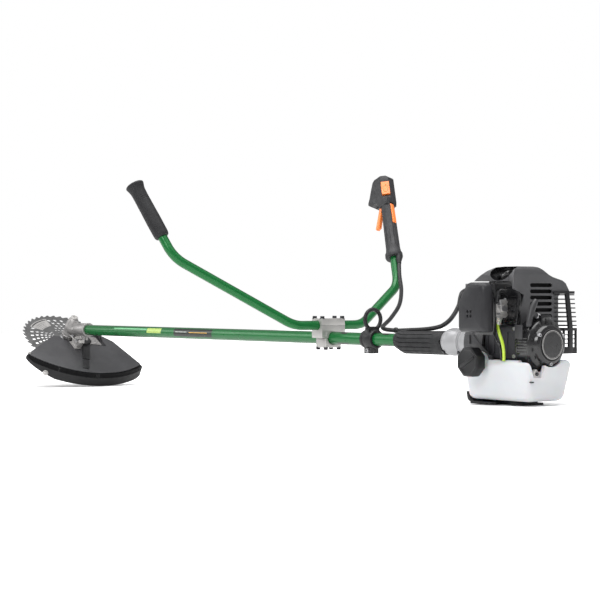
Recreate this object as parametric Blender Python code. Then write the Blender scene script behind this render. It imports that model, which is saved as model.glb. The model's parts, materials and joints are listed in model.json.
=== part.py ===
"""Petrol brush cutter: bevel gear head and saw blade, long drive tube, bent handlebar, two-stroke engine.

Frame: +X runs back along the drive shaft to the engine, +Z is up, -Y is the machine's left side.
The origin is the middle of the bottom face of the engine's stand. All sizes are metres.
"""

import math

import bmesh
import bpy
from mathutils import Matrix, Vector

# Driving dimensions ---------------------------------------------------------
GAP = 0.0003
SHAFT_Z = 0.120

HEAD_TILT = math.radians(32.0)
HEAD_X = -1.7585
BLADE_DROP = 0.036
BLADE_RADIUS = 0.1275
BLADE_THICKNESS = 0.0018
BLADE_TEETH = 40
GEAR_TEETH = 19
PINION_TEETH = 14
GEAR_PITCH_RADIUS = 0.013
GEAR_FACE = 0.0045

GUARD_DROP = 0.0224
GUARD_SHEET = 0.003
GUARD_ARC_X = -0.0568
GUARD_ARC_Y = 0.032
GUARD_ARC_RADIUS = 0.245
GUARD_ARC_START = math.radians(-55.0)
GUARD_ARC_END = math.radians(32.0)
SKIRT_DEPTH = 0.040

TUBE_RADIUS = 0.014
TUBE_BORE = 0.0125
TUBE_FRONT = -1.730
TUBE_REAR = -0.175
DRIVE_SHAFT_RADIUS = 0.0035
CABLE_RADIUS = 0.0048

CLAMP_X = -0.599
BAR_Z = 0.1485
BAR_RADIUS = 0.0105
BAR_BORE = 0.0090
BAR_LEFT = -0.097
BAR_RIGHT = 0.097
ARM_LEAN = 0.6236
ARM_SPREAD = 1.732
LEFT_ARM_RISE = 0.1495
RIGHT_ARM_RISE = 0.0917
GRIP_LEAN = 0.5345
GRIP_SPREAD = 0.291
LEFT_GRIP_RISE = 0.1622
RIGHT_GRIP_RISE = 0.2590
BAR_BEND = 0.075
LEFT_GRIP_LENGTH = 0.137
THROTTLE_LENGTH = 0.228
THROTTLE_BORE_END = -0.1400

HANGER_X = -0.447
SLEEVE_FRONT = -0.355
SLEEVE_REAR = -0.1973

CRANK_THROW = 0.015
SHAFT_RADIUS = 0.006
BORE_RADIUS = 0.017
CASE_FRONT = -0.0447
CASE_REAR = 0.0447
FAN_RADIUS = 0.052
STARTER_RADIUS = 0.050
CYLINDER_BASE = 0.1573
TANK_FLOOR = 0.010
TANK_TOP = 0.090
CAP_X = -0.0445
CAP_Z = 0.0850
PRIMER_X = -0.0025
PRIMER_Y = -0.0505
ROPE_START = Vector((0.0730, -0.0130, 0.1745))
ROPE_WAY = Vector((0, -0.93, 0.37)).normalized()

ROUND = 16
FINE = 24
SMALL = 12


# Materials ------------------------------------------------------------------
def finish(name, colour, roughness, metallic=0.0):
    """One Principled material."""
    material = bpy.data.materials.new(name)
    material.use_nodes = True
    shader = material.node_tree.nodes["Principled BSDF"]
    shader.inputs["Base Color"].default_value = (*colour, 1.0)
    shader.inputs["Roughness"].default_value = roughness
    shader.inputs["Metallic"].default_value = metallic
    material.diffuse_color = (*colour, 1.0)
    return material


def make_finishes():
    """The finishes that the pieces share."""
    table = {
        "green": ((0.01, 0.16, 0.05), 0.25, 0.7),
        "steel": ((0.50, 0.50, 0.50), 0.32, 1.0),
        "cast": ((0.62, 0.62, 0.62), 0.45, 0.9),
        "black": ((0.035, 0.035, 0.035), 0.5, 0.0),
        "grey": ((0.10, 0.10, 0.10), 0.5, 0.0),
        "rubber": ((0.05, 0.05, 0.05), 0.7, 0.0),
        "orange": ((0.90, 0.28, 0.06), 0.4, 0.0),
        "white": ((0.80, 0.81, 0.83), 0.35, 0.0),
        "lime": ((0.55, 0.75, 0.06), 0.3, 0.0),
        "clear": ((0.80, 0.80, 0.78), 0.15, 0.0),
    }
    return {name: finish(name, *values) for name, values in table.items()}


# Mesh helpers ---------------------------------------------------------------
def ring_of(radius, count, start=0.0):
    """Points on a circle in the XY plane."""
    step = 2 * math.pi / count
    return [(radius * math.cos(start + i * step), radius * math.sin(start + i * step)) for i in range(count)]


def arc_points(centre, radius, start, end, steps):
    """Points along an arc in the XY plane, ends included."""
    cx, cy = centre
    angles = [start + (end - start) * i / steps for i in range(steps + 1)]
    return [(cx + radius * math.cos(a), cy + radius * math.sin(a)) for a in angles]


def add_lathe(bm, profile, steps=ROUND, matrix=None):
    """Spin (radius, height) points about local Z; a profile that starts on the axis stays open there."""
    verts = [bm.verts.new((radius, 0.0, height)) for radius, height in profile]
    edges = [bm.edges.new(pair) for pair in zip(verts, verts[1:])]
    if profile[0][0] > 0:
        edges.append(bm.edges.new((verts[-1], verts[0])))
    turn = 2 * math.pi
    bmesh.ops.spin(bm, geom=verts + edges, axis=(0, 0, 1), cent=(0, 0, 0), angle=turn, steps=steps, use_merge=True)
    bmesh.ops.remove_doubles(bm, verts=bm.verts, dist=1e-6)
    if matrix:
        bmesh.ops.transform(bm, matrix=matrix, verts=bm.verts)


def add_prism(bm, outline, low, high, matrix=None):
    """Extrude an XY outline from one height to another."""
    verts = [bm.verts.new((x, y, low)) for x, y in outline]
    face = bm.faces.new(verts)
    raised = bmesh.ops.extrude_face_region(bm, geom=[face])
    top = [item for item in raised["geom"] if isinstance(item, bmesh.types.BMVert)]
    bmesh.ops.translate(bm, verts=top, vec=(0, 0, high - low))
    if matrix:
        bmesh.ops.transform(bm, matrix=matrix, verts=verts + top)


def add_box(bm, low, high):
    """An upright box between two corners."""
    outline = [(low[0], low[1]), (high[0], low[1]), (high[0], high[1]), (low[0], high[1])]
    add_prism(bm, outline, low[2], high[2])


def rings_along(path, radius, sides):
    """Rings square to a path, carried along it without twist."""
    rings = []
    side = None
    for index, point in enumerate(path):
        before = path[max(index - 1, 0)]
        after = path[min(index + 1, len(path) - 1)]
        tangent = (after - before).normalized()
        if side is None:
            side = tangent.orthogonal().normalized()
        side = (side - tangent * side.dot(tangent)).normalized()
        up = tangent.cross(side)
        rings.append([point + side * x + up * y for x, y in ring_of(radius, sides)])
    return rings


def add_sweep(bm, path, radius, sides, bore=None):
    """A round bar along a path, or a pipe when a bore is given."""
    outer = [[bm.verts.new(p) for p in ring] for ring in rings_along(path, radius, sides)]
    chain = outer
    if bore:
        inner = [[bm.verts.new(p) for p in ring] for ring in rings_along(path, bore, sides)]
        chain = outer + inner[::-1] + [outer[0]]
    for first, second in zip(chain, chain[1:]):
        for i in range(sides):
            j = (i + 1) % sides
            bm.faces.new((first[i], first[j], second[j], second[i]))
    if not bore:
        bm.faces.new(outer[0])
        bm.faces.new(outer[-1])


def rounded_path(corners, bend, steps=5):
    """A polyline through corners, each turned with an arc-like bend of the given radius."""
    points = [Vector(corners[0])]
    for before, corner, after in zip(corners, corners[1:], corners[2:]):
        corner = Vector(corner)
        back = (Vector(before) - corner).normalized()
        ahead = (Vector(after) - corner).normalized()
        half = back.angle(ahead) / 2
        reach = bend / math.tan(half)
        centre = corner + (back + ahead).normalized() * (bend / math.sin(half))
        start = corner + back * reach - centre
        end = corner + ahead * reach - centre
        for i in range(steps + 1):
            points.append(centre + start.normalized().slerp(end.normalized(), i / steps) * bend)
    points.append(Vector(corners[-1]))
    return points


def solid(name, bm, material, parent=None):
    """Turn a bmesh into a named object with clean normals and its own finish."""
    bmesh.ops.recalc_face_normals(bm, faces=bm.faces)
    mesh = bpy.data.meshes.new(name)
    bm.to_mesh(mesh)
    bm.free()
    mesh.materials.append(material)
    mesh.shade_smooth()
    mesh.set_sharp_from_angle(angle=math.radians(35))
    piece = bpy.data.objects.new(name, mesh)
    piece.parent = parent
    bpy.context.collection.objects.link(piece)
    return piece


def lathe(name, profile, material, parent, steps=ROUND):
    bm = bmesh.new()
    add_lathe(bm, profile, steps)
    return solid(name, bm, material, parent)


def box(name, low, high, material, parent=None, bevel=0.0):
    bm = bmesh.new()
    add_box(bm, low, high)
    piece = solid(name, bm, material, parent)
    if bevel:
        soften(piece, bevel)
    return piece


def prism(name, outline, low, high, material, parent=None, matrix=None):
    bm = bmesh.new()
    add_prism(bm, outline, low, high, matrix)
    return solid(name, bm, material, parent)


def soften(piece, width, segments=1):
    """Round a piece's sharp edges."""
    bevel = piece.modifiers.new("Soft edges", "BEVEL")
    bevel.width = width
    bevel.segments = segments
    bevel.limit_method = "ANGLE"
    bevel.angle_limit = math.radians(40)


def combine(target, tool, operation):
    """Join or cut with a helper object that isn't part of the machine."""
    step = target.modifiers.new(tool.name, "BOOLEAN")
    step.operation = operation
    step.object = tool
    step.solver = "EXACT"
    tool.hide_render = True
    tool.display_type = "WIRE"


def cut(target, *tools):
    for tool in tools:
        combine(target, tool, "DIFFERENCE")


def join(target, *tools):
    for tool in tools:
        combine(target, tool, "UNION")


def rod(name, radius, low, high, material, parent, steps=ROUND):
    """A plain round bar on the parent's Z axis."""
    return lathe(name, [(0, low), (radius, low), (radius, high), (0, high)], material, parent, steps)


def empty(name, location, rotation=(0, 0, 0), parent=None):
    """A marker that holds a joint's axis or a sub-assembly's frame."""
    marker = bpy.data.objects.new(name, None)
    marker.location = location
    marker.rotation_euler = rotation
    marker.parent = parent
    marker.empty_display_size = 0.02
    bpy.context.collection.objects.link(marker)
    return marker


def empty_facing(name, location, up, forward):
    """A marker whose local Z is up and whose local X leans towards forward."""
    z = Vector(up).normalized()
    y = z.cross(Vector(forward)).normalized()
    x = y.cross(z)
    turn = Matrix((x, y, z)).transposed()
    return empty(name, location, turn.to_euler())


# Cutting head ---------------------------------------------------------------
def blade_outline():
    """A saw-toothed circle: each tooth has a steep front and a long back."""
    points = []
    root = BLADE_RADIUS - 0.0065
    for tooth in range(BLADE_TEETH):
        angle = 2 * math.pi * tooth / BLADE_TEETH
        pitch = 2 * math.pi / BLADE_TEETH
        for share, radius in ((0.0, root), (0.10, BLADE_RADIUS), (0.35, BLADE_RADIUS - 0.0008), (0.75, root)):
            turn = angle + share * pitch
            points.append((radius * math.cos(turn), radius * math.sin(turn)))
    return points


def blade_holes(material, parent):
    """Cooling holes in two staggered rows, and the arbour hole."""
    low = -BLADE_DROP - 0.01
    high = -BLADE_DROP + 0.01
    bm = bmesh.new()
    add_prism(bm, ring_of(0.0127, ROUND), low, high)
    for row, (reach, width, length) in enumerate(((0.060, 0.0060, 0.011), (0.094, 0.0075, 0.013))):
        for index in range(9):
            turn = 2 * math.pi * (index + 0.5 * row) / 9
            oval = [(reach + length * x, width * y) for x, y in ring_of(1.0, 8)]
            add_prism(bm, oval, low, high, Matrix.Rotation(turn, 4, "Z"))
    return solid("cutter_blade_holes", bm, material, parent)


def build_blade(finishes, head):
    steel = finishes["steel"]
    half = BLADE_THICKNESS / 2
    blade = prism("saw_blade", blade_outline(), -BLADE_DROP - half, -BLADE_DROP + half, steel, head)
    cut(blade, blade_holes(steel, head))
    top = -BLADE_DROP + half + GAP
    under = -BLADE_DROP - half - GAP
    flange = [(0.0053, -0.0262), (0.0150, -0.0262), (0.0240, top + 0.004), (0.0240, top), (0.0053, top)]
    lathe("blade_flange", flange, steel, head, ROUND)
    washer = [(0.0053, under), (0.0200, under), (0.0185, under - 0.003), (0.0053, under - 0.003)]
    lathe("blade_washer", washer, steel, head, ROUND)
    nut_top = under - 0.003 - GAP
    bm = bmesh.new()
    add_prism(bm, ring_of(0.0095, 6), nut_top - 0.008, nut_top)
    nut = solid("blade_nut", bm, steel, head)
    cut(nut, rod("cutter_nut_bore", 0.0053, nut_top - 0.02, nut_top + 0.01, steel, head, SMALL))
    rod("output_shaft", 0.0050, nut_top - 0.011, -0.0015, steel, head, ROUND)


def tooth_profile(teeth, pitch_angle, cone, start):
    """One ring of a bevel gear's tooth outline, at a distance from the shared apex."""
    module = 2 * GEAR_PITCH_RADIUS / GEAR_TEETH
    outer_cone = GEAR_PITCH_RADIUS / math.sin(wheel_angle())
    tip = pitch_angle + math.atan(0.70 * module / outer_cone)
    root = pitch_angle - math.atan(1.05 * module / outer_cone)
    points = []
    for tooth in range(teeth):
        for share, angle in ((-0.30, root), (-0.12, tip), (0.12, tip), (0.30, root)):
            turn = start + 2 * math.pi * (tooth + share) / teeth
            reach = cone * math.sin(angle)
            points.append((reach * math.cos(turn), reach * math.sin(turn), cone * math.cos(angle)))
    return points


def wheel_angle():
    """Pitch angle of the driven wheel, for shafts that meet at 90 degrees plus the head's tilt."""
    between = math.pi / 2 + HEAD_TILT
    ratio = PINION_TEETH / GEAR_TEETH
    return math.atan2(math.sin(between), ratio + math.cos(between))


def pinion_angle():
    return math.pi / 2 + HEAD_TILT - wheel_angle()


def bevel_gear(name, teeth, pitch_angle, start, bore, hub_radius, hub_end, material, parent):
    """A bevel gear with its apex at the parent's origin and its teeth opening along +Z."""
    outer_cone = GEAR_PITCH_RADIUS / math.sin(wheel_angle())
    inner_cone = outer_cone - GEAR_FACE
    big = tooth_profile(teeth, pitch_angle, outer_cone, start)
    little = tooth_profile(teeth, pitch_angle, inner_cone, start)
    count = len(big)
    flat = min(point[2] for point in little)
    bm = bmesh.new()
    rings = []
    for radius, height in ((bore, flat), (bore, hub_end), (hub_radius, hub_end)):
        rings.append([(x, y, height) for x, y in ring_of(radius, count, start)])
    rings.append(big)
    rings.append(little)
    grown = [[bm.verts.new(p) for p in ring] for ring in rings]
    grown.append(grown[0])
    for first, second in zip(grown, grown[1:]):
        for i in range(count):
            j = (i + 1) % count
            bm.faces.new((first[i], first[j], second[j], second[i]))
    return solid(name, bm, material, parent)


def build_gears(finishes, head, shaft_frame):
    steel = finishes["steel"]
    down = empty("gear_apex_down", (0, 0, 0), (math.pi, 0, 0), head)
    half_pitch = math.pi / GEAR_TEETH
    bevel_gear("driven_bevel_gear", GEAR_TEETH, wheel_angle(), half_pitch, 0.0053, 0.0105, 0.0090, steel, down)
    apex = empty("pinion_apex", (0, 0, HEAD_X), (0, 0, 0), shaft_frame)
    pinion = bevel_gear(
        "bevel_pinion", PINION_TEETH, pinion_angle(), 0.0, 0.0030, 0.0075, 0.0125, steel, apex
    )
    stem = [(0.0030, 0.0110), (0.0060, 0.0110), (0.0060, 0.0560), (0.0038, 0.0560), (0.0038, 0.0320),
            (0.0030, 0.0320)]
    join(pinion, lathe("joined_pinion_stem", stem, steel, apex, SMALL))


def build_gearbox(finishes, head, shaft_frame):
    cast = finishes["cast"]
    shell = [(0, 0.0395), (0.0080, 0.0382), (0.0140, 0.0330), (0.0172, 0.0220), (0.0185, 0.0080),
             (0.0185, -0.0240), (0, -0.0240)]
    housing = lathe("gearbox_housing", shell, cast, head, FINE)
    neck_profile = [(0, 0.006), (0.0165, 0.006), (0.0165, 0.026), (0.0180, 0.029), (0.0180, 0.0985), (0, 0.0985)]
    neck_frame = empty("gearbox_neck", (0, 0, HEAD_X), (0, 0, 0), shaft_frame)
    neck = lathe("joined_gearbox_neck", neck_profile, cast, neck_frame, FINE)
    room = [(0, 0.0160), (0.0080, 0.0150), (0.0155, 0.0070), (0.0155, -0.0102), (0.0133, -0.0102),
            (0.0133, -0.0300), (0, -0.0300)]
    gear_room = lathe("cutter_gear_room", room, cast, head, ROUND)
    gear_room.rotation_euler = (0, 0, math.pi / ROUND)
    seat = [(0, 0.0), (0.0118, 0.0), (0.0118, 0.0135), (0.0063, 0.0135), (0.0063, TUBE_FRONT - GAP - HEAD_X),
            (TUBE_RADIUS + GAP, TUBE_FRONT - GAP - HEAD_X), (TUBE_RADIUS + GAP, 0.120), (0, 0.120)]
    tube_seat = lathe("cutter_tube_seat", seat, cast, neck_frame, FINE)
    join(housing, neck)
    cut(housing, gear_room, tube_seat)
    bearing = [(0.0053, -0.0105), (0.0130, -0.0105), (0.0130, -0.0225), (0.0053, -0.0225)]
    lathe("output_bearing", bearing, finishes["steel"], head, ROUND)


def guard_outline():
    """The guard's plan: a curved rear rim, straight sides and a notch round the gearbox."""
    notch = 0.0260
    rim = arc_points((GUARD_ARC_X, GUARD_ARC_Y), GUARD_ARC_RADIUS, GUARD_ARC_END, GUARD_ARC_START, 16)
    around = arc_points((0.0, 0.0), notch, -math.pi / 2, math.pi / 2, 8)
    left = [(-0.004, -0.048)]
    right = [(-0.006, 0.100), (0.030, 0.128), (0.090, 0.144)]
    return rim + left + around + right


def add_skirt(bm, centre, top):
    """The skirt below the guard's rim: a curved band whose left end tapers away."""
    steps = 16
    sections = []
    for step in range(steps + 1):
        share = step / steps
        angle = GUARD_ARC_START + (GUARD_ARC_END - GUARD_ARC_START) * share
        depth = 0.008 + (SKIRT_DEPTH - 0.011) * min(1.0, share / 0.25) ** 0.6
        section = []
        for radius, height in ((GAP, 0), (0.003, 0), (0.003, -depth), (GAP, -depth)):
            reach = GUARD_ARC_RADIUS + radius
            x = centre[0] + reach * math.cos(angle)
            y = centre[1] + reach * math.sin(angle)
            section.append(bm.verts.new((x, y, top + height)))
        sections.append(section)
    for first, second in zip(sections, sections[1:]):
        for i in range(4):
            j = (i + 1) % 4
            bm.faces.new((first[i], first[j], second[j], second[i]))
    bm.faces.new(sections[0])
    bm.faces.new(sections[-1])


def build_guard(finishes, head):
    black = finishes["black"]
    top = -GUARD_DROP
    shell = prism("guard_shell", guard_outline(), top - GUARD_SHEET, top, black, head)
    centre = (GUARD_ARC_X, GUARD_ARC_Y)
    inner = arc_points(centre, GUARD_ARC_RADIUS - GUARD_SHEET, GUARD_ARC_END, GUARD_ARC_START, 16)
    outer = arc_points(centre, GUARD_ARC_RADIUS, GUARD_ARC_START, GUARD_ARC_END, 16)
    join(shell, prism("joined_guard_lip", outer + inner, top - 0.012, top - 0.001, black, head))
    rib_place = empty("guard_rib_place", (0.0280, 0.0420, top), (0, 0, math.radians(-26.4)), head)
    join(shell, box("joined_guard_rib", (0, -0.011, -0.001), (0.155, 0.011, 0.0035), black, rib_place))
    bm = bmesh.new()
    add_skirt(bm, centre, top - 0.003)
    solid("guard_skirt", bm, black, head)
    knife_turn = math.radians(-40.0)
    knife_frame = empty("knife_place", (*centre, top - SKIRT_DEPTH), (0, 0, knife_turn), head)
    reach = GUARD_ARC_RADIUS
    box("line_knife", (reach - 0.0048, -0.014, 0.004), (reach - 0.0033, 0.014, 0.026), finishes["steel"], knife_frame)


def build_guard_bracket(finishes, head):
    """A foot on the guard, a web up towards the gearbox neck and a bolting flange under the neck."""
    cast = finishes["cast"]
    low = -GUARD_DROP + GAP
    foot = box("guard_bracket", (0.0300, -0.0130, low), (0.0660, 0.0055, low + 0.003), cast, head)
    upright = Matrix.Rotation(math.pi / 2, 4, "X")
    clear = 0.0190 / math.cos(HEAD_TILT)
    slope = math.tan(HEAD_TILT)
    web = [(0.0330, low + 0.001), (0.0620, low + 0.001), (0.0700, 0.0000), (0.0620, 0.0620 * slope - clear),
           (0.0330, 0.0330 * slope - clear)]
    join(foot, prism("joined_bracket_web", web, -0.008, 0.008, cast, head, upright))
    join(foot, box("joined_bracket_flange", (0.0400, -0.0150, -0.0025), (0.0660, 0.0140, 0.0010), cast, head))


# Drive line and tube --------------------------------------------------------
def build_tube(finishes, shaft_frame):
    pipe = [(TUBE_BORE, TUBE_FRONT), (TUBE_RADIUS, TUBE_FRONT), (TUBE_RADIUS, TUBE_REAR), (TUBE_BORE, TUBE_REAR)]
    lathe("drive_tube", pipe, finishes["green"], shaft_frame, FINE)
    rod("drive_shaft", DRIVE_SHAFT_RADIUS, HEAD_X + 0.0325, -0.1500, finishes["steel"], shaft_frame, SMALL)


def build_sleeve(finishes, shaft_frame):
    bore = TUBE_RADIUS + GAP
    sleeve = [(bore, SLEEVE_FRONT), (0.0190, SLEEVE_FRONT), (0.0210, SLEEVE_FRONT + 0.008), (0.0250, -0.235),
              (0.0262, -0.225), (0.0262, SLEEVE_REAR), (bore, SLEEVE_REAR)]
    lathe("rear_sleeve_grip", sleeve, finishes["rubber"], shaft_frame, FINE)


def build_hanger(finishes):
    """The harness hanger: a band round the tube, an upright eye and a screw boss below."""
    black = finishes["black"]
    frame = empty("hanger_frame", (HANGER_X, 0, SHAFT_Z), (0, math.pi / 2, 0))
    bore = TUBE_RADIUS + GAP
    band = [(bore, -0.020), (0.0200, -0.020), (0.0200, 0.0185), (bore, 0.0185)]
    hanger = lathe("harness_hanger", band, black, frame, ROUND)
    eye = [(0.0175, -0.0035), (0.0265, -0.0035), (0.0265, 0.0035), (0.0175, 0.0035)]
    eye_frame = empty("hanger_eye_frame", (-0.0430, 0, 0.004), (0, 0, 0), frame)
    join(hanger, lathe("joined_hanger_eye", eye, black, eye_frame, ROUND))
    join(hanger, box("joined_hanger_boss", (0.0175, -0.010, -0.012), (0.0310, 0.010, 0.012), black, frame))


# Handlebar ------------------------------------------------------------------
def bar_corners():
    """The bar's corner points, from the left grip's end to the right grip's end."""
    middle = Vector((CLAMP_X, 0, BAR_Z))
    left = middle + Vector((0, BAR_LEFT, 0))
    left_top = left + Vector((-ARM_LEAN, -ARM_SPREAD, 1)) * LEFT_ARM_RISE
    left_end = left_top + Vector((-GRIP_LEAN, -GRIP_SPREAD, 1)) * LEFT_GRIP_RISE
    right = middle + Vector((0, BAR_RIGHT, 0))
    right_top = right + Vector((-ARM_LEAN, ARM_SPREAD, 1)) * RIGHT_ARM_RISE
    right_end = right_top + Vector((-GRIP_LEAN, GRIP_SPREAD, 1)) * RIGHT_GRIP_RISE
    return [left_end, left_top, left, right, right_top, right_end]


def build_bar(finishes, pivot):
    corners = [corner - pivot.location for corner in bar_corners()]
    left_way = (corners[0] - corners[1]).normalized()
    right_way = (corners[-1] - corners[-2]).normalized()
    corners[0] = corners[0] - left_way * 0.0045
    corners[-1] = corners[-1] + right_way * (THROTTLE_BORE_END - GAP)
    bm = bmesh.new()
    add_sweep(bm, rounded_path(corners, BAR_BEND), BAR_RADIUS, 10, BAR_BORE)
    solid("handlebar_tube", bm, finishes["green"], pivot)


def build_left_grip(finishes, pivot):
    corners = bar_corners()
    way = corners[0] - corners[1]
    frame = empty_facing("left_grip_frame", corners[0] - pivot.location, way, (-1, 0, 0))
    frame.parent = pivot
    length = LEFT_GRIP_LENGTH
    bore = BAR_RADIUS + GAP
    grip = [(0, 0), (0.0185, 0), (0.0205, -0.003), (0.0205, -0.007), (0.0165, -0.014), (0.0165, -0.060),
            (0.0172, -0.090), (0.0165, -length + 0.006), (0.0150, -length), (bore, -length),
            (bore, -0.004), (0, -0.004)]
    lathe("left_grip", grip, finishes["rubber"], frame, ROUND)


def throttle_head_outline():
    """Side view of the throttle's head: local X is forward, local Z is up the grip."""
    return [(-0.0160, 0.000), (-0.0120, 0.0045), (0.0200, 0.0045), (0.0260, 0.000), (0.0420, -0.038),
            (0.0490, -0.052), (0.0460, -0.058), (0.0180, -0.060), (0.0140, -0.078), (-0.0140, -0.078),
            (-0.0160, -0.066)]


def build_throttle(finishes, pivot):
    grey = finishes["grey"]
    corners = bar_corners()
    frame = empty_facing("throttle_frame", corners[-1] - pivot.location, corners[-1] - corners[-2], (-1, 0, 0))
    frame.parent = pivot
    sideways = Matrix.Rotation(math.pi / 2, 4, "X")
    half = 0.0160
    end = -THROTTLE_LENGTH
    handle = prism("throttle_housing", throttle_head_outline(), -half, half, grey, frame, sideways)
    soften(handle, 0.003)
    barrel = [(0, -0.060), (0.0158, -0.060), (0.0175, end + 0.018), (0.0210, end + 0.010), (0.0210, end), (0, end)]
    join(handle, lathe("joined_throttle_barrel", barrel, grey, frame, 16))
    bore = rod("cutter_throttle_bore", BAR_RADIUS + GAP, end - 0.01, THROTTLE_BORE_END, grey, frame, ROUND)
    trigger_slot = box("cutter_trigger_slot", (0.0030, -0.0053, -0.1300), (0.0600, 0.0053, -0.0570), grey, frame)
    lock_slot = box("cutter_lock_slot", (-0.0300, -0.0058, -0.1360), (-0.0020, 0.0058, -0.0745), grey, frame)
    switch_axis = empty("switch_axis", (-0.0070, 0.0070, -0.0330), (0, 0, math.radians(-45.0)), frame)
    corner = box("cutter_corner", (-0.0300, -0.0300, -0.0290), (-0.0035, 0.0300, 0.0450), grey, switch_axis)
    switch_slot = box("cutter_switch_slot", (-0.0300, -0.0108, -0.0210), (0.0050, 0.0108, 0.0210), grey, switch_axis)
    cut(handle, bore, trigger_slot, lock_slot, corner, switch_slot)
    build_throttle_controls(finishes, frame, sideways, switch_axis)


def build_throttle_controls(finishes, frame, sideways, switch_axis):
    """Trigger, lockout lever and stop switch, each on its own pivot marker."""
    orange = finishes["orange"]
    trigger_axis = empty("trigger_axis", (0.0110, 0, -0.0640), (0, 0, 0), frame)
    trigger = [(-0.0040, 0.0030), (0.0040, 0.0040), (0.0140, -0.0100), (0.0250, -0.0350), (0.0340, -0.0570),
               (0.0320, -0.0610), (0.0220, -0.0590), (0.0080, -0.0180), (-0.0040, -0.0060)]
    prism("throttle_trigger", trigger, -0.0048, 0.0048, orange, trigger_axis, sideways)
    lock_axis = empty("lockout_axis", (-0.0090, 0, -0.0815), (0, 0, 0), frame)
    lock = [(-0.0060, 0.0040), (0.0030, 0.0040), (0.0020, -0.0050), (-0.0030, -0.0500), (-0.0070, -0.0530),
            (-0.0095, -0.0440), (-0.0085, -0.0080)]
    prism("lockout_lever", lock, -0.0053, 0.0053, orange, lock_axis, sideways)
    rocker = [(-0.0070, 0.0180), (-0.0050, 0.0), (-0.0070, -0.0180), (0.0020, -0.0180), (0.0020, 0.0180)]
    prism("stop_switch", rocker, -0.0102, 0.0102, orange, switch_axis, sideways)


def build_clamp(finishes):
    """Three blocks that grip the tube and the bar, drawn together by four bolts."""
    cast = finishes["cast"]
    frame = empty("clamp_frame", (CLAMP_X, 0, 0))
    tube_hole = rod("cutter_clamp_tube", TUBE_RADIUS + GAP, -0.05, 0.05, cast, None, FINE)
    tube_hole.location = (CLAMP_X, 0, SHAFT_Z)
    tube_hole.rotation_euler = (0, math.pi / 2, 0)
    bar_hole = rod("cutter_clamp_bar", BAR_RADIUS + GAP, -0.06, 0.06, cast, None, FINE)
    bar_hole.location = (CLAMP_X, 0, BAR_Z)
    bar_hole.rotation_euler = (math.pi / 2, 0, 0)
    bm = bmesh.new()
    places = [(x, y) for x in (-0.0138, 0.0138) for y in (-0.0285, 0.0285)]
    for x, y in places:
        add_prism(bm, ring_of(0.0028, 8), 0.124, 0.180, Matrix.Translation((x, y, 0)))
    bolt_holes = solid("cutter_clamp_bolts", bm, cast, frame)
    half = 0.0185
    wide = 0.0330
    low = box("clamp_base", (-half, -0.0235, 0.0985), (half, 0.0235, SHAFT_Z - GAP), cast, frame, 0.002)
    middle = box("clamp_middle", (-half, -wide, SHAFT_Z), (half, wide, BAR_Z - GAP), cast, frame, 0.002)
    cap = box("clamp_cap", (-half, -wide, BAR_Z), (half, wide, 0.1640), cast, frame, 0.002)
    cut(low, tube_hole)
    cut(middle, tube_hole, bar_hole, bolt_holes)
    cut(cap, bar_hole, bolt_holes)
    for number, (x, y) in enumerate(places, 1):
        bolt = [(0, 0.127), (0.0025, 0.127), (0.0025, 0.1643), (0.0042, 0.1643), (0.0042, 0.1693), (0, 0.1693)]
        piece = lathe(f"clamp_bolt_{number}", bolt, finishes["black"], frame, 8)
        piece.location = (x, y, 0)


def build_cable(finishes):
    """The throttle cable's sheath: from the throttle, under the hanger's eye, along the sleeve, to the carburettor."""
    corners = bar_corners()
    way = (corners[-1] - corners[-2]).normalized()
    start = corners[-1] - way * (THROTTLE_LENGTH + 0.002) + Vector((0.0190, -0.002, 0))
    path = [start, (-0.641, 0.248, 0.264), (-0.594, 0.213, 0.228), (-0.540, 0.160, 0.194), (-0.492, 0.094, 0.165),
            (-0.450, 0.034, 0.145), (-0.403, 0.022, 0.1400), (-0.352, 0.018, 0.1410), (-0.290, 0.016, 0.1440),
            (-0.2434, 0.010, 0.1490), (-0.2173, 0.004, 0.1550), (-0.1901, -0.004, 0.1655), (-0.163, -0.015, 0.1799),
            (-0.1403, -0.025, 0.1964), (-0.1221, -0.038, 0.2107), (-0.1000, -0.0530, 0.2215),
            (-0.0750, -0.0605, 0.2265), (-0.030, -0.0610, 0.2260), (0.002, -0.0600, 0.2140)]
    bm = bmesh.new()
    add_sweep(bm, rounded_path(path, 0.015, 2), CABLE_RADIUS, 8)
    solid("throttle_cable", bm, finishes["black"], None)


# Engine ---------------------------------------------------------------------
def build_clutch(finishes, shaft_frame):
    steel = finishes["steel"]
    bore = TUBE_RADIUS + GAP
    inner_end = TUBE_REAR + GAP
    shell = [(0.0312, -0.1003), (0.0460, -0.1003), (0.0460, -0.1070), (0.0340, -0.1120), (0.0335, -0.1290),
             (0.0275, -0.1420), (0.0272, -0.1700), (0.0262, -0.1900), (0.0235, -0.1970), (bore, -0.1970),
             (bore, inner_end), (0.0098, inner_end), (0.0098, -0.1360), (0.0312, -0.1310)]
    lathe("clutch_housing", shell, finishes["cast"], shaft_frame, FINE)
    drum = [(0, -0.1270), (0.0280, -0.1270), (0.0280, -0.1080), (0.0303, -0.1080), (0.0303, -0.1295),
            (0.0095, -0.1295), (0.0095, -0.1740), (0.0038, -0.1740), (0.0038, -0.1495), (0, -0.1495)]
    lathe("clutch_drum", drum, steel, shaft_frame, ROUND)


def shoe_outline():
    """A curved friction shoe, with its pivot eye near one end."""
    outer = arc_points((0, 0), 0.0265, math.radians(-62), math.radians(105), 10)
    inner = arc_points((0, 0), 0.0135, math.radians(105), math.radians(-58), 8)
    return outer + inner


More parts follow.
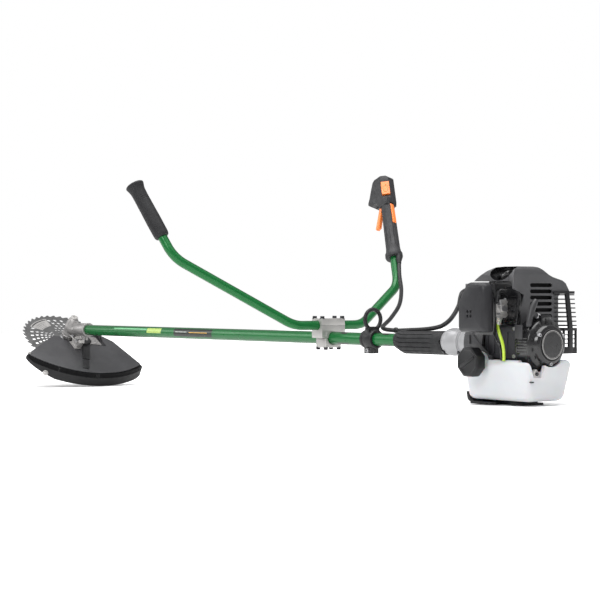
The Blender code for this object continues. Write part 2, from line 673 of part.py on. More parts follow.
def build_crank(finishes, shaft_frame):
    steel = finishes["steel"]
    crank = rod("crankshaft", SHAFT_RADIUS, -0.0560, -0.0055, steel, shaft_frame, ROUND)
    pieces = [rod("joined_crank_rear", SHAFT_RADIUS, 0.0055, 0.0560, steel, shaft_frame, ROUND)]
    for name, low in (("front", -0.0125), ("rear", 0.0055)):
        pieces.append(rod(f"joined_crank_web_{name}", 0.0220, low, low + 0.007, steel, shaft_frame, FINE))
    pin = rod("joined_crank_pin", 0.0050, -0.0080, 0.0080, steel, shaft_frame, SMALL)
    pin.location = (-CRANK_THROW, 0, 0)
    join(crank, *pieces, pin)
    flywheel = rod("flywheel", 0.0420, -0.0650, -0.0563, finishes["cast"], shaft_frame, FINE)
    bm = bmesh.new()
    for vane in range(10):
        sheet = [(0.0250, -0.0012), (0.0450, -0.0012), (0.0450, 0.0012), (0.0250, 0.0012)]
        add_prism(bm, sheet, -0.0800, -0.0600, Matrix.Rotation(2 * math.pi * vane / 10, 4, "Z"))
    join(flywheel, solid("joined_fan_vanes", bm, finishes["cast"], shaft_frame))
    bm = bmesh.new()
    for side in (-1, 1):
        add_prism(bm, ring_of(0.0028, SMALL), -0.1240, -0.0600, Matrix.Translation((0, side * 0.0200, 0)))
    join(flywheel, solid("joined_clutch_pins", bm, finishes["cast"], shaft_frame))
    for name, side in (("a", -1), ("b", 1)):
        pivot = empty(f"shoe_axis_{name}", (0, -side * 0.0200, 0), (0, 0, 0), shaft_frame)
        turn = Matrix.Rotation(math.pi * (side > 0), 4, "Z")
        shift = Matrix.Translation((0, side * 0.0200, 0))
        shoe = prism(f"clutch_shoe_{name}", shoe_outline(), -0.1230, -0.1090, steel, pivot, shift @ turn)
        cut(shoe, rod(f"cutter_shoe_hole_{name}", 0.0031, -0.13, -0.10, steel, pivot, SMALL))


def build_fan_housing(finishes, shaft_frame):
    ring = [(0.0315, -0.1000), (FAN_RADIUS, -0.1000), (FAN_RADIUS, CASE_FRONT - GAP),
            (0.0480, CASE_FRONT - GAP), (0.0480, -0.0960), (0.0315, -0.0960)]
    lathe("fan_housing", ring, finishes["grey"], shaft_frame, FINE)


def build_crankcase(finishes, shaft_frame):
    grey = finishes["grey"]
    lying = Matrix.Rotation(math.pi / 2, 4, "Z") @ Matrix.Rotation(math.pi / 2, 4, "X")
    outline = [(-0.044, 0.094), (-0.030, 0.076), (0.030, 0.076), (0.044, 0.094), (0.044, 0.152), (0.039, 0.157),
               (-0.039, 0.157), (-0.044, 0.152)]
    case = prism("crankcase", outline, CASE_FRONT, CASE_REAR, grey, None, lying)
    chamber = rod("cutter_crank_chamber", 0.0240, -0.0170, 0.0170, grey, shaft_frame, FINE)
    passage = rod("cutter_crank_passage", SHAFT_RADIUS + GAP, -0.06, 0.06, grey, shaft_frame, ROUND)
    throat = rod("cutter_case_throat", BORE_RADIUS + GAP, 0.130, 0.170, grey, None, ROUND)
    cut(case, chamber, passage, throat)


def build_cylinder(finishes):
    cast = finishes["cast"]
    profile = [(BORE_RADIUS, CYLINDER_BASE), (0.0300, CYLINDER_BASE), (0.0300, 0.1620), (0.0210, 0.1620)]
    for fin in range(5):
        low = 0.1690 + fin * 0.0140
        profile += [(0.0210, low), (0.0360, low), (0.0360, low + 0.0022), (0.0210, low + 0.0022)]
    profile += [(0.0210, 0.2330), (0.0053, 0.2330), (0.0053, 0.2140), (BORE_RADIUS, 0.2105)]
    lathe("cylinder", profile, cast, None, ROUND)
    piston = [(0, 0.2075), (0.0167, 0.2075), (0.0167, 0.1825), (0.0140, 0.1825), (0.0140, 0.2035), (0, 0.2035)]
    lathe("piston", piston, cast, None, ROUND)
    plug = [(0, 0.2125), (0.0050, 0.2125), (0.0050, 0.2333), (0.0090, 0.2333), (0.0090, 0.2400), (0.0040, 0.2410),
            (0.0035, 0.2530), (0, 0.2530)]
    lathe("spark_plug", plug, finishes["steel"], None, SMALL)
    boot = [(0, 0.2540), (0.0043, 0.2540), (0.0043, 0.2440), (0.0085, 0.2440), (0.0085, 0.2580), (0.0060, 0.2610),
            (0, 0.2610)]
    lathe("spark_plug_boot", boot, finishes["black"], None, SMALL)


def build_rod(finishes):
    """The connecting rod, held at top dead centre, with its big end open below the pin's sweep."""
    eye = arc_points((0, 0.1930), 0.0075, math.radians(-60), math.radians(240), 10)
    clear = CRANK_THROW + 0.0050 + 0.0010
    sweep = arc_points((0, SHAFT_Z), clear, math.radians(112), math.radians(68), 4)
    lying = Matrix.Rotation(math.pi / 2, 4, "Z") @ Matrix.Rotation(math.pi / 2, 4, "X")
    prism("connecting_rod", eye + sweep, -0.0042, 0.0042, finishes["steel"], None, lying)


def build_starter(finishes, shaft_frame):
    black = finishes["black"]
    cup = [(0, 0.0965), (0.0285, 0.0965), (0.0295, 0.0955), (0.0380, 0.0940), (0.0400, 0.0860), (STARTER_RADIUS, 0.0800),
           (STARTER_RADIUS, CASE_REAR + GAP), (0.0465, CASE_REAR + GAP), (0.0465, 0.0770), (0.0370, 0.0830),
           (0.0050, 0.0830), (0.0050, 0.0590), (0, 0.0590)]
    housing = lathe("starter_housing", cup, black, shaft_frame, FINE)
    guide = box("joined_rope_guide", (0.0600, -0.0180, 0.1560), (0.0860, 0.0080, 0.1785), black)
    rope_hole = rod("cutter_rope_hole", 0.0030, -0.040, 0.030, black, None, SMALL)
    rope_hole.location = ROPE_START
    rope_hole.rotation_euler = ROPE_WAY.to_track_quat("Z", "X").to_euler()
    join(housing, guide)
    cut(housing, rope_hole)
    wheel = [(0.0053, 0.0600), (0.0300, 0.0600), (0.0300, 0.0620), (0.0240, 0.0650), (0.0240, 0.0690),
             (0.0300, 0.0720), (0.0300, 0.0740), (0.0053, 0.0740)]
    lathe("starter_pulley", wheel, finishes["grey"], shaft_frame, ROUND)


def build_pull(finishes):
    """The T handle and the rope's visible end, on the line the rope is pulled along."""
    frame = empty_facing("rope_axis", ROPE_START, ROPE_WAY, (1, 0, 0))
    grip = box("starter_handle", (-0.0065, -0.0270, 0.0150), (0.0065, 0.0270, 0.0260), finishes["grey"], frame, 0.004)
    stem = [(0, 0.0075), (0.0055, 0.0075), (0.0075, 0.0160), (0, 0.0160)]
    join(grip, lathe("joined_handle_stem", stem, finishes["grey"], frame, SMALL))
    cut(grip, rod("cutter_handle_bore", 0.0028, 0.0, 0.0130, finishes["grey"], frame, 8))
    rod("starter_rope", 0.0020, -0.0250, 0.0125, finishes["black"], frame, 8)


def cover_section():
    """The engine cover's end view: a tall part over the cylinder and a lower shoulder over the muffler."""
    return [(-0.052, 0.214), (-0.052, 0.262), (-0.040, 0.273), (0.026, 0.273), (0.056, 0.254), (0.088, 0.247),
            (0.103, 0.226), (0.106, 0.164), (0.052, 0.158), (-0.020, 0.158)]


def cover_side(drop=0.0):
    """The engine cover's side view: the top falls away towards the front."""
    return [(-0.075 + drop, 0.150), (0.0440 - drop, 0.150), (0.0440 - drop, 0.262 - drop), (0.034, 0.273 - drop),
            (0.012, 0.273 - drop), (-0.010, 0.264 - drop), (-0.034, 0.253 - drop), (-0.060, 0.247 - drop),
            (-0.075 + drop, 0.230)]


def shrunk(outline, amount):
    """An outline drawn in towards its middle by a fixed amount on each axis."""
    xs = [x for x, _ in outline]
    ys = [y for _, y in outline]
    cx = (min(xs) + max(xs)) / 2
    cy = (min(ys) + max(ys)) / 2
    sx = 1 - 2 * amount / (max(xs) - min(xs))
    sy = 1 - 2 * amount / (max(ys) - min(ys))
    return [(cx + (x - cx) * sx, cy + (y - cy) * sy) for x, y in outline]


def build_cover(finishes):
    grey = finishes["grey"]
    end_on = Matrix.Rotation(math.pi / 2, 4, "Z") @ Matrix.Rotation(math.pi / 2, 4, "X")
    side_on = Matrix.Rotation(math.pi / 2, 4, "X")
    cover = prism("engine_cover", cover_section(), -0.075, 0.044, grey, None, end_on)
    envelope = prism("joined_cover_side", cover_side(), -0.2, 0.2, grey, None, side_on)
    combine(cover, envelope, "INTERSECT")
    room = prism("cutter_cover_room", shrunk(cover_section(), 0.0025), -0.0725, 0.0412, grey, None, end_on)
    side = prism("joined_room_side", cover_side(0.0025), -0.2, 0.2, grey, None, side_on)
    combine(room, side, "INTERSECT")
    under = box("cutter_cover_under", (-0.0800, -0.0600, 0.1000), (0.0400, 0.1000, 0.1740), grey)
    side_door = box("cutter_cover_side_door", (-0.0700, -0.0700, 0.1500), (0.0400, -0.0100, 0.2440), grey)
    bm = bmesh.new()
    for slot in range(6):
        low = 0.1660 + slot * 0.0120
        add_box(bm, (0.0380, 0.0010, low), (0.0500, 0.0540, low + 0.0065))
    slots = solid("cutter_cover_slots", bm, grey)
    cut(cover, room, under, side_door, slots)


def build_muffler(finishes):
    box("muffler", (-0.0350, 0.0400, 0.1680), (0.0300, 0.0960, 0.2200), finishes["steel"], None, 0.006)
    black = finishes["black"]
    bend = [(-0.060, 0.1205), (-0.060, 0.1180), (0.0450, 0.1180), (0.0450, 0.0600), (0.0475, 0.0600), (0.0475, 0.1205)]
    guard = prism("muffler_guard", bend, 0.1000, 0.2240, black)
    bm = bmesh.new()
    for slot in range(8):
        low = 0.1180 + slot * 0.0125
        add_box(bm, (0.0350, 0.0680, low), (0.0600, 0.1100, low + 0.0090))
        add_box(bm, (-0.0540, 0.1100, low), (0.0380, 0.1300, low + 0.0090))
    cut(guard, solid("cutter_guard_slots", bm, black))


def build_intake(finishes):
    grey = finishes["grey"]
    black = finishes["black"]
    side_on = Matrix.Rotation(math.pi / 2, 4, "X")
    outline = [(-0.060, 0.149), (-0.055, 0.144), (0.014, 0.144), (0.019, 0.149), (0.019, 0.236), (0.014, 0.2415),
               (-0.032, 0.2415), (-0.039, 0.236), (-0.058, 0.206), (-0.060, 0.200)]
    cover = prism("air_filter_cover", outline, 0.0853, 0.1060, black, None, side_on)
    room = prism("cutter_filter_room", shrunk(outline, 0.0025), 0.0800, 0.1030, black, None, side_on)
    soften(cover, 0.003)
    cut(cover, room)
    base = box("air_filter_base", (-0.0570, -0.0850, 0.1450), (0.0215, -0.0760, 0.2390), finishes["cast"], None, 0.0015)
    join(base, box("joined_choke_lug", (0.0190, -0.0775, 0.2000), (0.0310, -0.0765, 0.2120), finishes["cast"]))
    carb = box("carburettor", (-0.0180, -0.0757, 0.1720), (0.0180, -0.0385, 0.2080), finishes["cast"], None, 0.002)
    well = rod("cutter_primer_well", 0.0088, 0.1600, 0.1765, grey, None, SMALL)
    well.location = (PRIMER_X, PRIMER_Y, 0)
    cut(carb, well)
    dome = [(0, 0.1570), (0.0050, 0.1580), (0.0080, 0.1620), (0.0084, 0.1720), (0, 0.1720)]
    bulb = lathe("primer_bulb", dome, finishes["clear"], None, SMALL)
    bulb.location = (PRIMER_X, PRIMER_Y, 0)
    lever_axis = empty("choke_axis", (0.0260, -0.0800, 0.2060))
    arm = [(-0.0026, -0.0030), (0.0030, -0.0030), (0.0060, 0.0180), (0.0010, 0.0190), (-0.0026, 0.0030)]
    prism("choke_lever", arm, -0.0020, 0.0020, black, lever_axis, side_on)


def build_tank(finishes, shaft_frame):
    white = finishes["white"]
    bm = bmesh.new()
    add_box(bm, (-0.0930, -0.0620, TANK_FLOOR), (0.0970, 0.0620, TANK_TOP))
    shape_tank(bm)
    tank = solid("fuel_tank", bm, white)
    soften(tank, 0.010, 2)
    neck_frame = empty("filler_axis", (CAP_X, 0, CAP_Z), (math.pi / 2, 0, 0))
    neck = rod("joined_filler_neck", 0.0205, 0.0450, 0.0860, white, neck_frame, ROUND)
    hollow = [(0, -0.12), (0.0560, -0.12), (0.0560, 0.0865), (0.0430, 0.0865), (0.0430, 0.12), (0, 0.12)]
    trough = lathe("cutter_tank_trough", hollow, white, shaft_frame, FINE)
    end_on = Matrix.Rotation(math.pi / 2, 4, "Z") @ Matrix.Rotation(math.pi / 2, 4, "X")
    notch_outline = [(-0.0560, 0.0950), (-0.0450, 0.0640), (-0.0260, 0.0640), (-0.0150, 0.0950)]
    notch = prism("cutter_tank_notch", notch_outline, 0.0600, 0.1200, white, None, end_on)
    bm = bmesh.new()
    add_box(bm, (-0.0900, -0.0590, 0.0130), (0.0940, 0.0590, 0.0560))
    shape_tank(bm)
    room = solid("cutter_tank_room", bm, white)
    soften(room, 0.010, 2)
    passage = rod("cutter_filler_bore", 0.0165, 0.0480, 0.1000, white, neck_frame, SMALL)
    passage_down = box("cutter_filler_drop", (CAP_X - 0.010, -0.0550, 0.0500), (CAP_X + 0.010, -0.0480, CAP_Z), white)
    join(tank, neck)
    cut(tank, trough, notch, room, passage, passage_down)
    outside = [(0, 0.0700), (0.0290, 0.0700), (0.0305, 0.0730), (0.0305, 0.0900), (0.0270, 0.0940), (0, 0.0940)]
    cap = lathe("fuel_cap", outside, finishes["black"], neck_frame, 8)
    cut(cap, rod("cutter_cap_bore", 0.0212, 0.0600, 0.0865, white, neck_frame, ROUND))


def shape_tank(bm):
    """Draw the tank in towards its floor, so that its sides lean out going up."""
    for vert in bm.verts:
        height = (vert.co.z - TANK_FLOOR) / (TANK_TOP - TANK_FLOOR)
        vert.co.x *= 0.90 + 0.10 * height
        vert.co.y *= 0.88 + 0.12 * height


def build_fuel_line(finishes):
    path = [(0.0100, -0.0600, 0.1717), (0.0110, -0.0600, 0.1560), (0.0290, -0.0590, 0.1200),
            (0.0215, -0.0565, TANK_TOP + GAP)]
    bm = bmesh.new()
    add_sweep(bm, rounded_path(path, 0.02, 3), 0.0025, 8)
    solid("fuel_line", bm, finishes["lime"])


def build_stand(finishes):
    """The stand under the tank: two feet on a spine, with a front upright to the fan housing."""
    black = finishes["black"]
    spine = box("engine_stand", (-0.0400, -0.0180, 0.0), (0.0400, 0.0180, 0.0095), black)
    front = box("joined_stand_front", (-0.0980, -0.0460, 0.0), (-0.0200, 0.0460, 0.0090), black)
    rear = box("joined_stand_rear", (0.0200, -0.0300, 0.0), (0.0520, 0.0300, 0.0092), black)
    upright = box("joined_stand_upright", (-0.0995, -0.0200, 0.0), (-0.0935, 0.0200, 0.0670), black)
    join(spine, front, rear, upright)


# Assembly -------------------------------------------------------------------
def clear_scene():
    for item in list(bpy.data.objects):
        bpy.data.objects.remove(item, do_unlink=True)


def build():
    clear_scene()
    finishes = make_finishes()
    shaft_frame = empty("shaft_axis", (0, 0, SHAFT_Z), (0, math.pi / 2, 0))
    head = empty("output_axis", (HEAD_X, 0, SHAFT_Z), (0, HEAD_TILT, 0))
    bar_pivot = empty("handlebar_axis", (CLAMP_X, 0, BAR_Z))
    build_blade(finishes, head)
    build_gears(finishes, head, shaft_frame)
    build_gearbox(finishes, head, shaft_frame)
    build_guard(finishes, head)
    build_guard_bracket(finishes, head)
    build_tube(finishes, shaft_frame)
    build_clamp(finishes)
    build_bar(finishes, bar_pivot)
    build_left_grip(finishes, bar_pivot)
    build_throttle(finishes, bar_pivot)
    build_cable(finishes)
    build_hanger(finishes)
    build_sleeve(finishes, shaft_frame)
    build_clutch(finishes, shaft_frame)
    build_crank(finishes, shaft_frame)
    build_fan_housing(finishes, shaft_frame)
    build_crankcase(finishes, shaft_frame)
    build_cylinder(finishes)
    build_rod(finishes)
    build_starter(finishes, shaft_frame)
    build_pull(finishes)
    build_cover(finishes)
    build_muffler(finishes)
    build_intake(finishes)
    build_tank(finishes, shaft_frame)
    build_fuel_line(finishes)
    build_stand(finishes)


build()
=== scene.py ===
"""Looks for the petrol brush cutter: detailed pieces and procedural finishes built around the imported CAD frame."""

import json
import math

import bmesh
import bpy
from mathutils import Matrix, Vector


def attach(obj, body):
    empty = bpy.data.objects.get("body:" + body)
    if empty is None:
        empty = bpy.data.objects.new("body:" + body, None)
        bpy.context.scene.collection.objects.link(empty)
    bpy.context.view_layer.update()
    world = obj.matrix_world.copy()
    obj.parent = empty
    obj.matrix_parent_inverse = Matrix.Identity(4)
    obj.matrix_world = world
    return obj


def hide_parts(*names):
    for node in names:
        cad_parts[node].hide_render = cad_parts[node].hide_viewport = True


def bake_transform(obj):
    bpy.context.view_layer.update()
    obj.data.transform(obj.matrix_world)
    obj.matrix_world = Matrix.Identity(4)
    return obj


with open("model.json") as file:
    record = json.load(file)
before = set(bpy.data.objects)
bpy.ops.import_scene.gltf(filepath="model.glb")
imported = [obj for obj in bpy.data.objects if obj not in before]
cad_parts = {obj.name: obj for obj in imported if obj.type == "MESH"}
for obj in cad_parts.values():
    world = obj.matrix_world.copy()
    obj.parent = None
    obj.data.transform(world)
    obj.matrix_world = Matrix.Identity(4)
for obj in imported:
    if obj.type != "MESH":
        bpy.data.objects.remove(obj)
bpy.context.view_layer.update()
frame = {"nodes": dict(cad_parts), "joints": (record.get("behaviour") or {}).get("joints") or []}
move = Matrix.Translation


def spin(angle, axis="Z"):
    """A turn by an angle in degrees."""
    return Matrix.Rotation(math.radians(angle), 4, axis)


def aimed(at, way):
    """A frame at a point, with Z along way."""
    return move(at) @ Vector(way).to_track_quat("Z", "X").to_matrix().to_4x4()


def round_shaft(x, radius, angle):
    """A point round the shaft's axis, by an angle in degrees."""
    a = math.radians(angle)
    return Vector((x, radius * math.cos(a), SHAFT_Z + radius * math.sin(a)))


def mm(*points):
    """Points in metres from points in millimetres."""
    return [tuple(round(value / 1000, 7) for value in point) for point in points]


# Frames and shared dimensions, the same as the CAD's -----------------------------------------------
JOINTS = {joint["name"]: joint for joint in frame["joints"]}
SHAFT_Z = 0.12
HEAD_TILT = math.radians(32.0)
HEAD_AT = Vector(JOINTS["blade_spin"]["pos_m"])
BAR_AT = Vector(JOINTS["handlebar_tilt"]["pos_m"])
TUBE_R = 0.014
BAR_R = 0.0105
AXIAL = spin(90, "Y")
SHAFT = move((0, 0, SHAFT_Z)) @ AXIAL
HEAD = move(HEAD_AT) @ Matrix.Rotation(HEAD_TILT, 4, "Y")
HEAD_UP = HEAD.to_3x3() @ Vector((0, 0, 1))
NECK = move(HEAD_AT) @ AXIAL
END_ON = spin(90) @ spin(90, "X")
SIDE_ON = spin(90, "X")
IDENTITY = Matrix.Identity(4)


# Materials -------------------------------------------------------------------------------------
def linear(colour):
    """Linear values from 0..255 display values."""
    out = []
    for value in colour:
        c = value / 255
        out.append(c / 12.92 if c <= 0.04045 else ((c + 0.055) / 1.055) ** 2.4)
    return (*out, 1.0)


class Nodes:
    """A short way to build a shader tree."""

    def __init__(self, name):
        self.material = bpy.data.materials.new(name)
        self.material.use_nodes = True
        self.tree = self.material.node_tree
        self.shader = self.tree.nodes["Principled BSDF"]
        self.place = self.add("ShaderNodeTexCoord").outputs["Object"]

    def add(self, kind, **settings):
        node = self.tree.nodes.new(kind)
        for key, value in settings.items():
            setattr(node, key, value)
        return node

    def link(self, out, socket):
        self.tree.links.new(out, socket)

    def feed(self, socket, value):
        if isinstance(value, bpy.types.NodeSocket):
            self.link(value, socket)
        else:
            socket.default_value = value

    def noise(self, scale, detail=4.0, stretch=None, rough=0.55):
        node = self.add("ShaderNodeTexNoise")
        node.inputs["Scale"].default_value = scale
        node.inputs["Detail"].default_value = detail
        node.inputs["Roughness"].default_value = rough
        self.link(self.stretched(stretch), node.inputs["Vector"])
        return node.outputs["Fac"]

    def stretched(self, stretch):
        if stretch is None:
            return self.place
        node = self.add("ShaderNodeMapping")
        node.inputs["Scale"].default_value = stretch
        self.link(self.place, node.inputs["Vector"])
        return node.outputs["Vector"]

    def cells(self, scale):
        node = self.add("ShaderNodeTexVoronoi")
        node.inputs["Scale"].default_value = scale
        self.link(self.place, node.inputs["Vector"])
        return node.outputs["Distance"]

    def ramp(self, value, low, high, first=0.0, last=1.0):
        node = self.add("ShaderNodeMapRange")
        for key, item in (("From Min", low), ("From Max", high), ("To Min", first), ("To Max", last)):
            node.inputs[key].default_value = item
        self.feed(node.inputs["Value"], value)
        return node.outputs["Result"]

    def math(self, operation, first, second=0.0):
        node = self.add("ShaderNodeMath", operation=operation)
        self.feed(node.inputs[0], first)
        self.feed(node.inputs[1], second)
        return node.outputs[0]

    def mix(self, share, first, second):
        node = self.add("ShaderNodeMix", data_type="RGBA")
        self.feed(node.inputs[0], share)
        self.feed(node.inputs[6], first)
        self.feed(node.inputs[7], second)
        return node.outputs[2]

    def split(self, stretch=None):
        node = self.add("ShaderNodeSeparateXYZ")
        self.link(self.stretched(stretch), node.inputs[0])
        return node.outputs

    def edges(self, radius=0.0012):
        """1 on sharp edges and 0 on flats."""
        bevel = self.add("ShaderNodeBevel", samples=4)
        bevel.inputs["Radius"].default_value = radius
        geometry = self.add("ShaderNodeNewGeometry")
        dot = self.add("ShaderNodeVectorMath", operation="DOT_PRODUCT")
        self.link(bevel.outputs[0], dot.inputs[0])
        self.link(geometry.outputs["Normal"], dot.inputs[1])
        return self.ramp(dot.outputs["Value"], 0.995, 0.85)

    def bump(self, height, strength, distance=0.0004):
        node = self.add("ShaderNodeBump")
        node.inputs["Strength"].default_value = strength
        node.inputs["Distance"].default_value = distance
        self.link(height, node.inputs["Height"])
        self.link(node.outputs["Normal"], self.shader.inputs["Normal"])

    def set(self, **values):
        for key, value in values.items():
            self.feed(self.shader.inputs[key.replace("_", " ")], value)


def moulded(name, colour, rough=0.45, metal=0.0, grain=900.0, bump=0.25, vary=0.18, edge=0.5, coat=0.0,
        edge_to=None, shine=0.5):
    """Moulded, cast or painted stuff: tonal drift, fine grain, uneven sheen, and lighter edges: rubbed wear and
    painted highlight.
    """
    n = Nodes(name)
    base = linear(colour)
    dark = tuple(c * (1 - vary) for c in base[:3]) + (1.0,)
    light = tuple(min(1.0, c * (1 + vary) + 0.004) for c in base[:3]) + (1.0,)
    drift = n.ramp(n.noise(14.0, 5.0), 0.32, 0.68)
    body = n.mix(drift, dark, light)
    # Edges go lighter in noisy patches: partly rubbed wear, partly a painted highlight where edges catch the light.
    edge_wear_and_highlight = linear(edge_to) if edge_to else tuple(min(1.0, c * 1.9 + 0.05) for c in base[:3]) + (1.0,)
    edge_wear_and_highlight_mask = n.math("MULTIPLY", n.edges(), n.ramp(n.noise(120.0, 6.0), 0.4, 0.62, 0.0, edge))
    n.set(Base_Color=n.mix(edge_wear_and_highlight_mask, body, edge_wear_and_highlight), Metallic=metal)
    sheen = n.ramp(n.noise(45.0, 6.0), 0.3, 0.7, max(0.05, rough - 0.09), min(1.0, rough + 0.1))
    n.set(Roughness=sheen, Coat_Weight=coat, Coat_Roughness=0.12, Specular_IOR_Level=shine)
    fine = n.math("ADD", n.noise(grain, 3.0), n.math("MULTIPLY", n.noise(grain / 8, 3.0), 0.6))
    n.bump(fine, bump)
    return n.material


def green_paint(name, bands=()):
    """Deep green paint over bright metal, with fine flake, darker towards grazing angles as painted shade;
    bands are printed labels, a painted highlight and painted reflections: (from x, to x, from z, to z, colour)."""
    n = Nodes(name)
    facing = n.add("ShaderNodeLayerWeight")
    facing.inputs["Blend"].default_value = 0.3
    flake = n.ramp(n.cells(2600.0), 0.1, 0.6)
    colour = n.mix(n.math("MULTIPLY", flake, 0.5), linear((8, 106, 48)), linear((4, 82, 34)))
    # Darker towards grazing angles: painted shade along the tube's sides.
    colour = n.mix(n.ramp(facing.outputs["Facing"], 0.25, 0.95), colour, linear((3, 46, 20)))
    x, _, z = n.split()
    metal = 0.2
    for start, end, low, high, tint in bands:
        inside = n.math("MULTIPLY", n.math("GREATER_THAN", x, start), n.math("LESS_THAN", x, end))
        tall = n.math("MULTIPLY", n.math("GREATER_THAN", z, low), n.math("LESS_THAN", z, high))
        inside = n.math("MULTIPLY", inside, tall)
        colour = n.mix(inside, colour, linear(tint))
        metal = n.math("MULTIPLY", n.math("SUBTRACT", 1.0, inside), metal)
    scuff = n.math("MULTIPLY", n.ramp(n.noise(260.0, 8.0, (0.2, 1, 1)), 0.66, 0.72), 0.18)
    n.set(Base_Color=n.mix(scuff, colour, linear((90, 160, 115))), Metallic=metal)
    n.set(Roughness=n.ramp(n.noise(30.0, 6.0), 0.3, 0.7, 0.26, 0.38), Coat_Weight=0.15, Coat_Roughness=0.07,
        Specular_IOR_Level=0.35)
    n.bump(n.noise(1500.0, 2.0), 0.06)
    return n.material


PRINT_AND_PAINTED_LIGHT = (
    # A light mint stripe high on the tube near the gearhead: painted highlight. The next four rows are print.
    (-1.506, -1.344, 0.1258, 0.129, (112, 176, 130)),
    (-1.342, -1.275, 0.118, 0.1302, (160, 184, 98)),
    (-1.215, -1.045, 0.112, 0.131, (16, 24, 18)),
    (-1.145, -1.065, 0.1215, 0.1232, (205, 160, 70)),
    (-1.208, -1.156, 0.1225, 0.124, (170, 176, 170)),
    # Dark patches at the tube's top and bottom edges: painted reflections and shade of the nearby black parts.
    (-0.545, -0.522, 0.13, 0.14, (14, 30, 18)),
    (-0.557, -0.518, 0.1, 0.1105, (14, 30, 18)),
    (-0.402, -0.38, 0.1305, 0.14, (14, 30, 18)),
    (-0.398, -0.378, 0.1, 0.1095, (14, 30, 18)),
)


def turned_steel(name, colour, rough=0.3, ring=False, vary=0.3):
    """Machined steel with fine lines, round the head's axis when ring is set, and faint smudges."""
    n = Nodes(name)
    if ring:
        turn = n.add("ShaderNodeMapping", vector_type="POINT")
        turn.inputs["Location"].default_value = HEAD.inverted().to_translation()
        turn.inputs["Rotation"].default_value = (0, -HEAD_TILT, 0)
        n.link(n.place, turn.inputs["Vector"])
        flat = n.add("ShaderNodeVectorMath", operation="MULTIPLY")
        flat.inputs[1].default_value = (1, 1, 0)
        n.link(turn.outputs[0], flat.inputs[0])
        length = n.add("ShaderNodeVectorMath", operation="LENGTH")
        n.link(flat.outputs[0], length.inputs[0])
        lines = n.add("ShaderNodeTexNoise", noise_dimensions="1D")
        lines.inputs["Scale"].default_value = 900.0
        n.link(length.outputs["Value"], lines.inputs["W"])
        line = lines.outputs["Fac"]
    else:
        line = n.noise(700.0, 3.0, (0.08, 1, 1))
    base = linear(colour)
    dark = tuple(c * (1 - vary) for c in base[:3]) + (1.0,)
    body = n.mix(n.ramp(n.noise(30.0, 7.0), 0.35, 0.7), base, dark)
    # Edges lifted towards pale steel: a painted edge highlight.
    body = n.mix(n.math("MULTIPLY", n.edges(0.0008), 0.5), body, linear((225, 225, 228)))
    n.set(Base_Color=body, Metallic=0.9)
    n.set(Roughness=n.ramp(n.noise(60.0, 6.0), 0.3, 0.7, rough - 0.08, rough + 0.12))
    n.bump(line, 0.18)
    return n.material


def milky(name, colour, rough=0.35):
    """Pale translucent plastic: light scatters a little under a soft satin skin."""
    n = Nodes(name)
    base = linear(colour)
    shade = tuple(c * 0.93 for c in base[:3]) + (1.0,)
    body = n.mix(n.ramp(n.noise(9.0, 5.0), 0.35, 0.7), base, shade)
    n.set(Base_Color=body, Subsurface_Weight=0.25, Subsurface_Scale=0.012)
    n.set(Roughness=n.ramp(n.noise(40.0, 6.0), 0.3, 0.7, rough - 0.08, rough + 0.1))
    n.bump(n.math("ADD", n.noise(600.0, 3.0), n.noise(25.0, 3.0)), 0.1, 0.0006)
    return n.material


def soft_rubber(name, colour, rough=0.62, shine=0.35):
    """Rubber: matt, dusty in patches, with a fine stipple."""
    n = Nodes(name)
    base = linear(colour)
    dust = tuple(min(1.0, c * 1.8 + 0.012) for c in base[:3]) + (1.0,)
    n.set(Base_Color=n.mix(n.ramp(n.noise(55.0, 7.0), 0.5, 0.8, 0.0, 0.5), base, dust))
    n.set(Roughness=n.ramp(n.noise(70.0, 5.0), 0.3, 0.7, rough - 0.1, rough + 0.12), Specular_IOR_Level=shine)
    n.bump(n.math("ADD", n.cells(1500.0), n.noise(400.0, 3.0)), 0.3, 0.0003)
    return n.material


def sweep_white(name):
    """The studio floor: white card, lifted a little so that it meets the white backdrop."""
    n = Nodes(name)
    n.set(Base_Color=n.mix(n.noise(3.0), linear((250, 250, 250)), linear((252, 252, 252))), Roughness=0.8)
    away = n.add("ShaderNodeVectorMath", operation="DISTANCE")
    away.inputs[1].default_value = (-0.8, 0, 0)
    n.link(n.place, away.inputs[0])
    seen = n.add("ShaderNodeLightPath").outputs["Is Camera Ray"]
    lift = n.math("MULTIPLY", n.ramp(away.outputs["Value"], 1.3, 3.2, 0.12, 1.2), seen)
    n.set(Specular_IOR_Level=0.1, Emission_Color=(1, 1, 1, 1), Emission_Strength=lift)
    return n.material


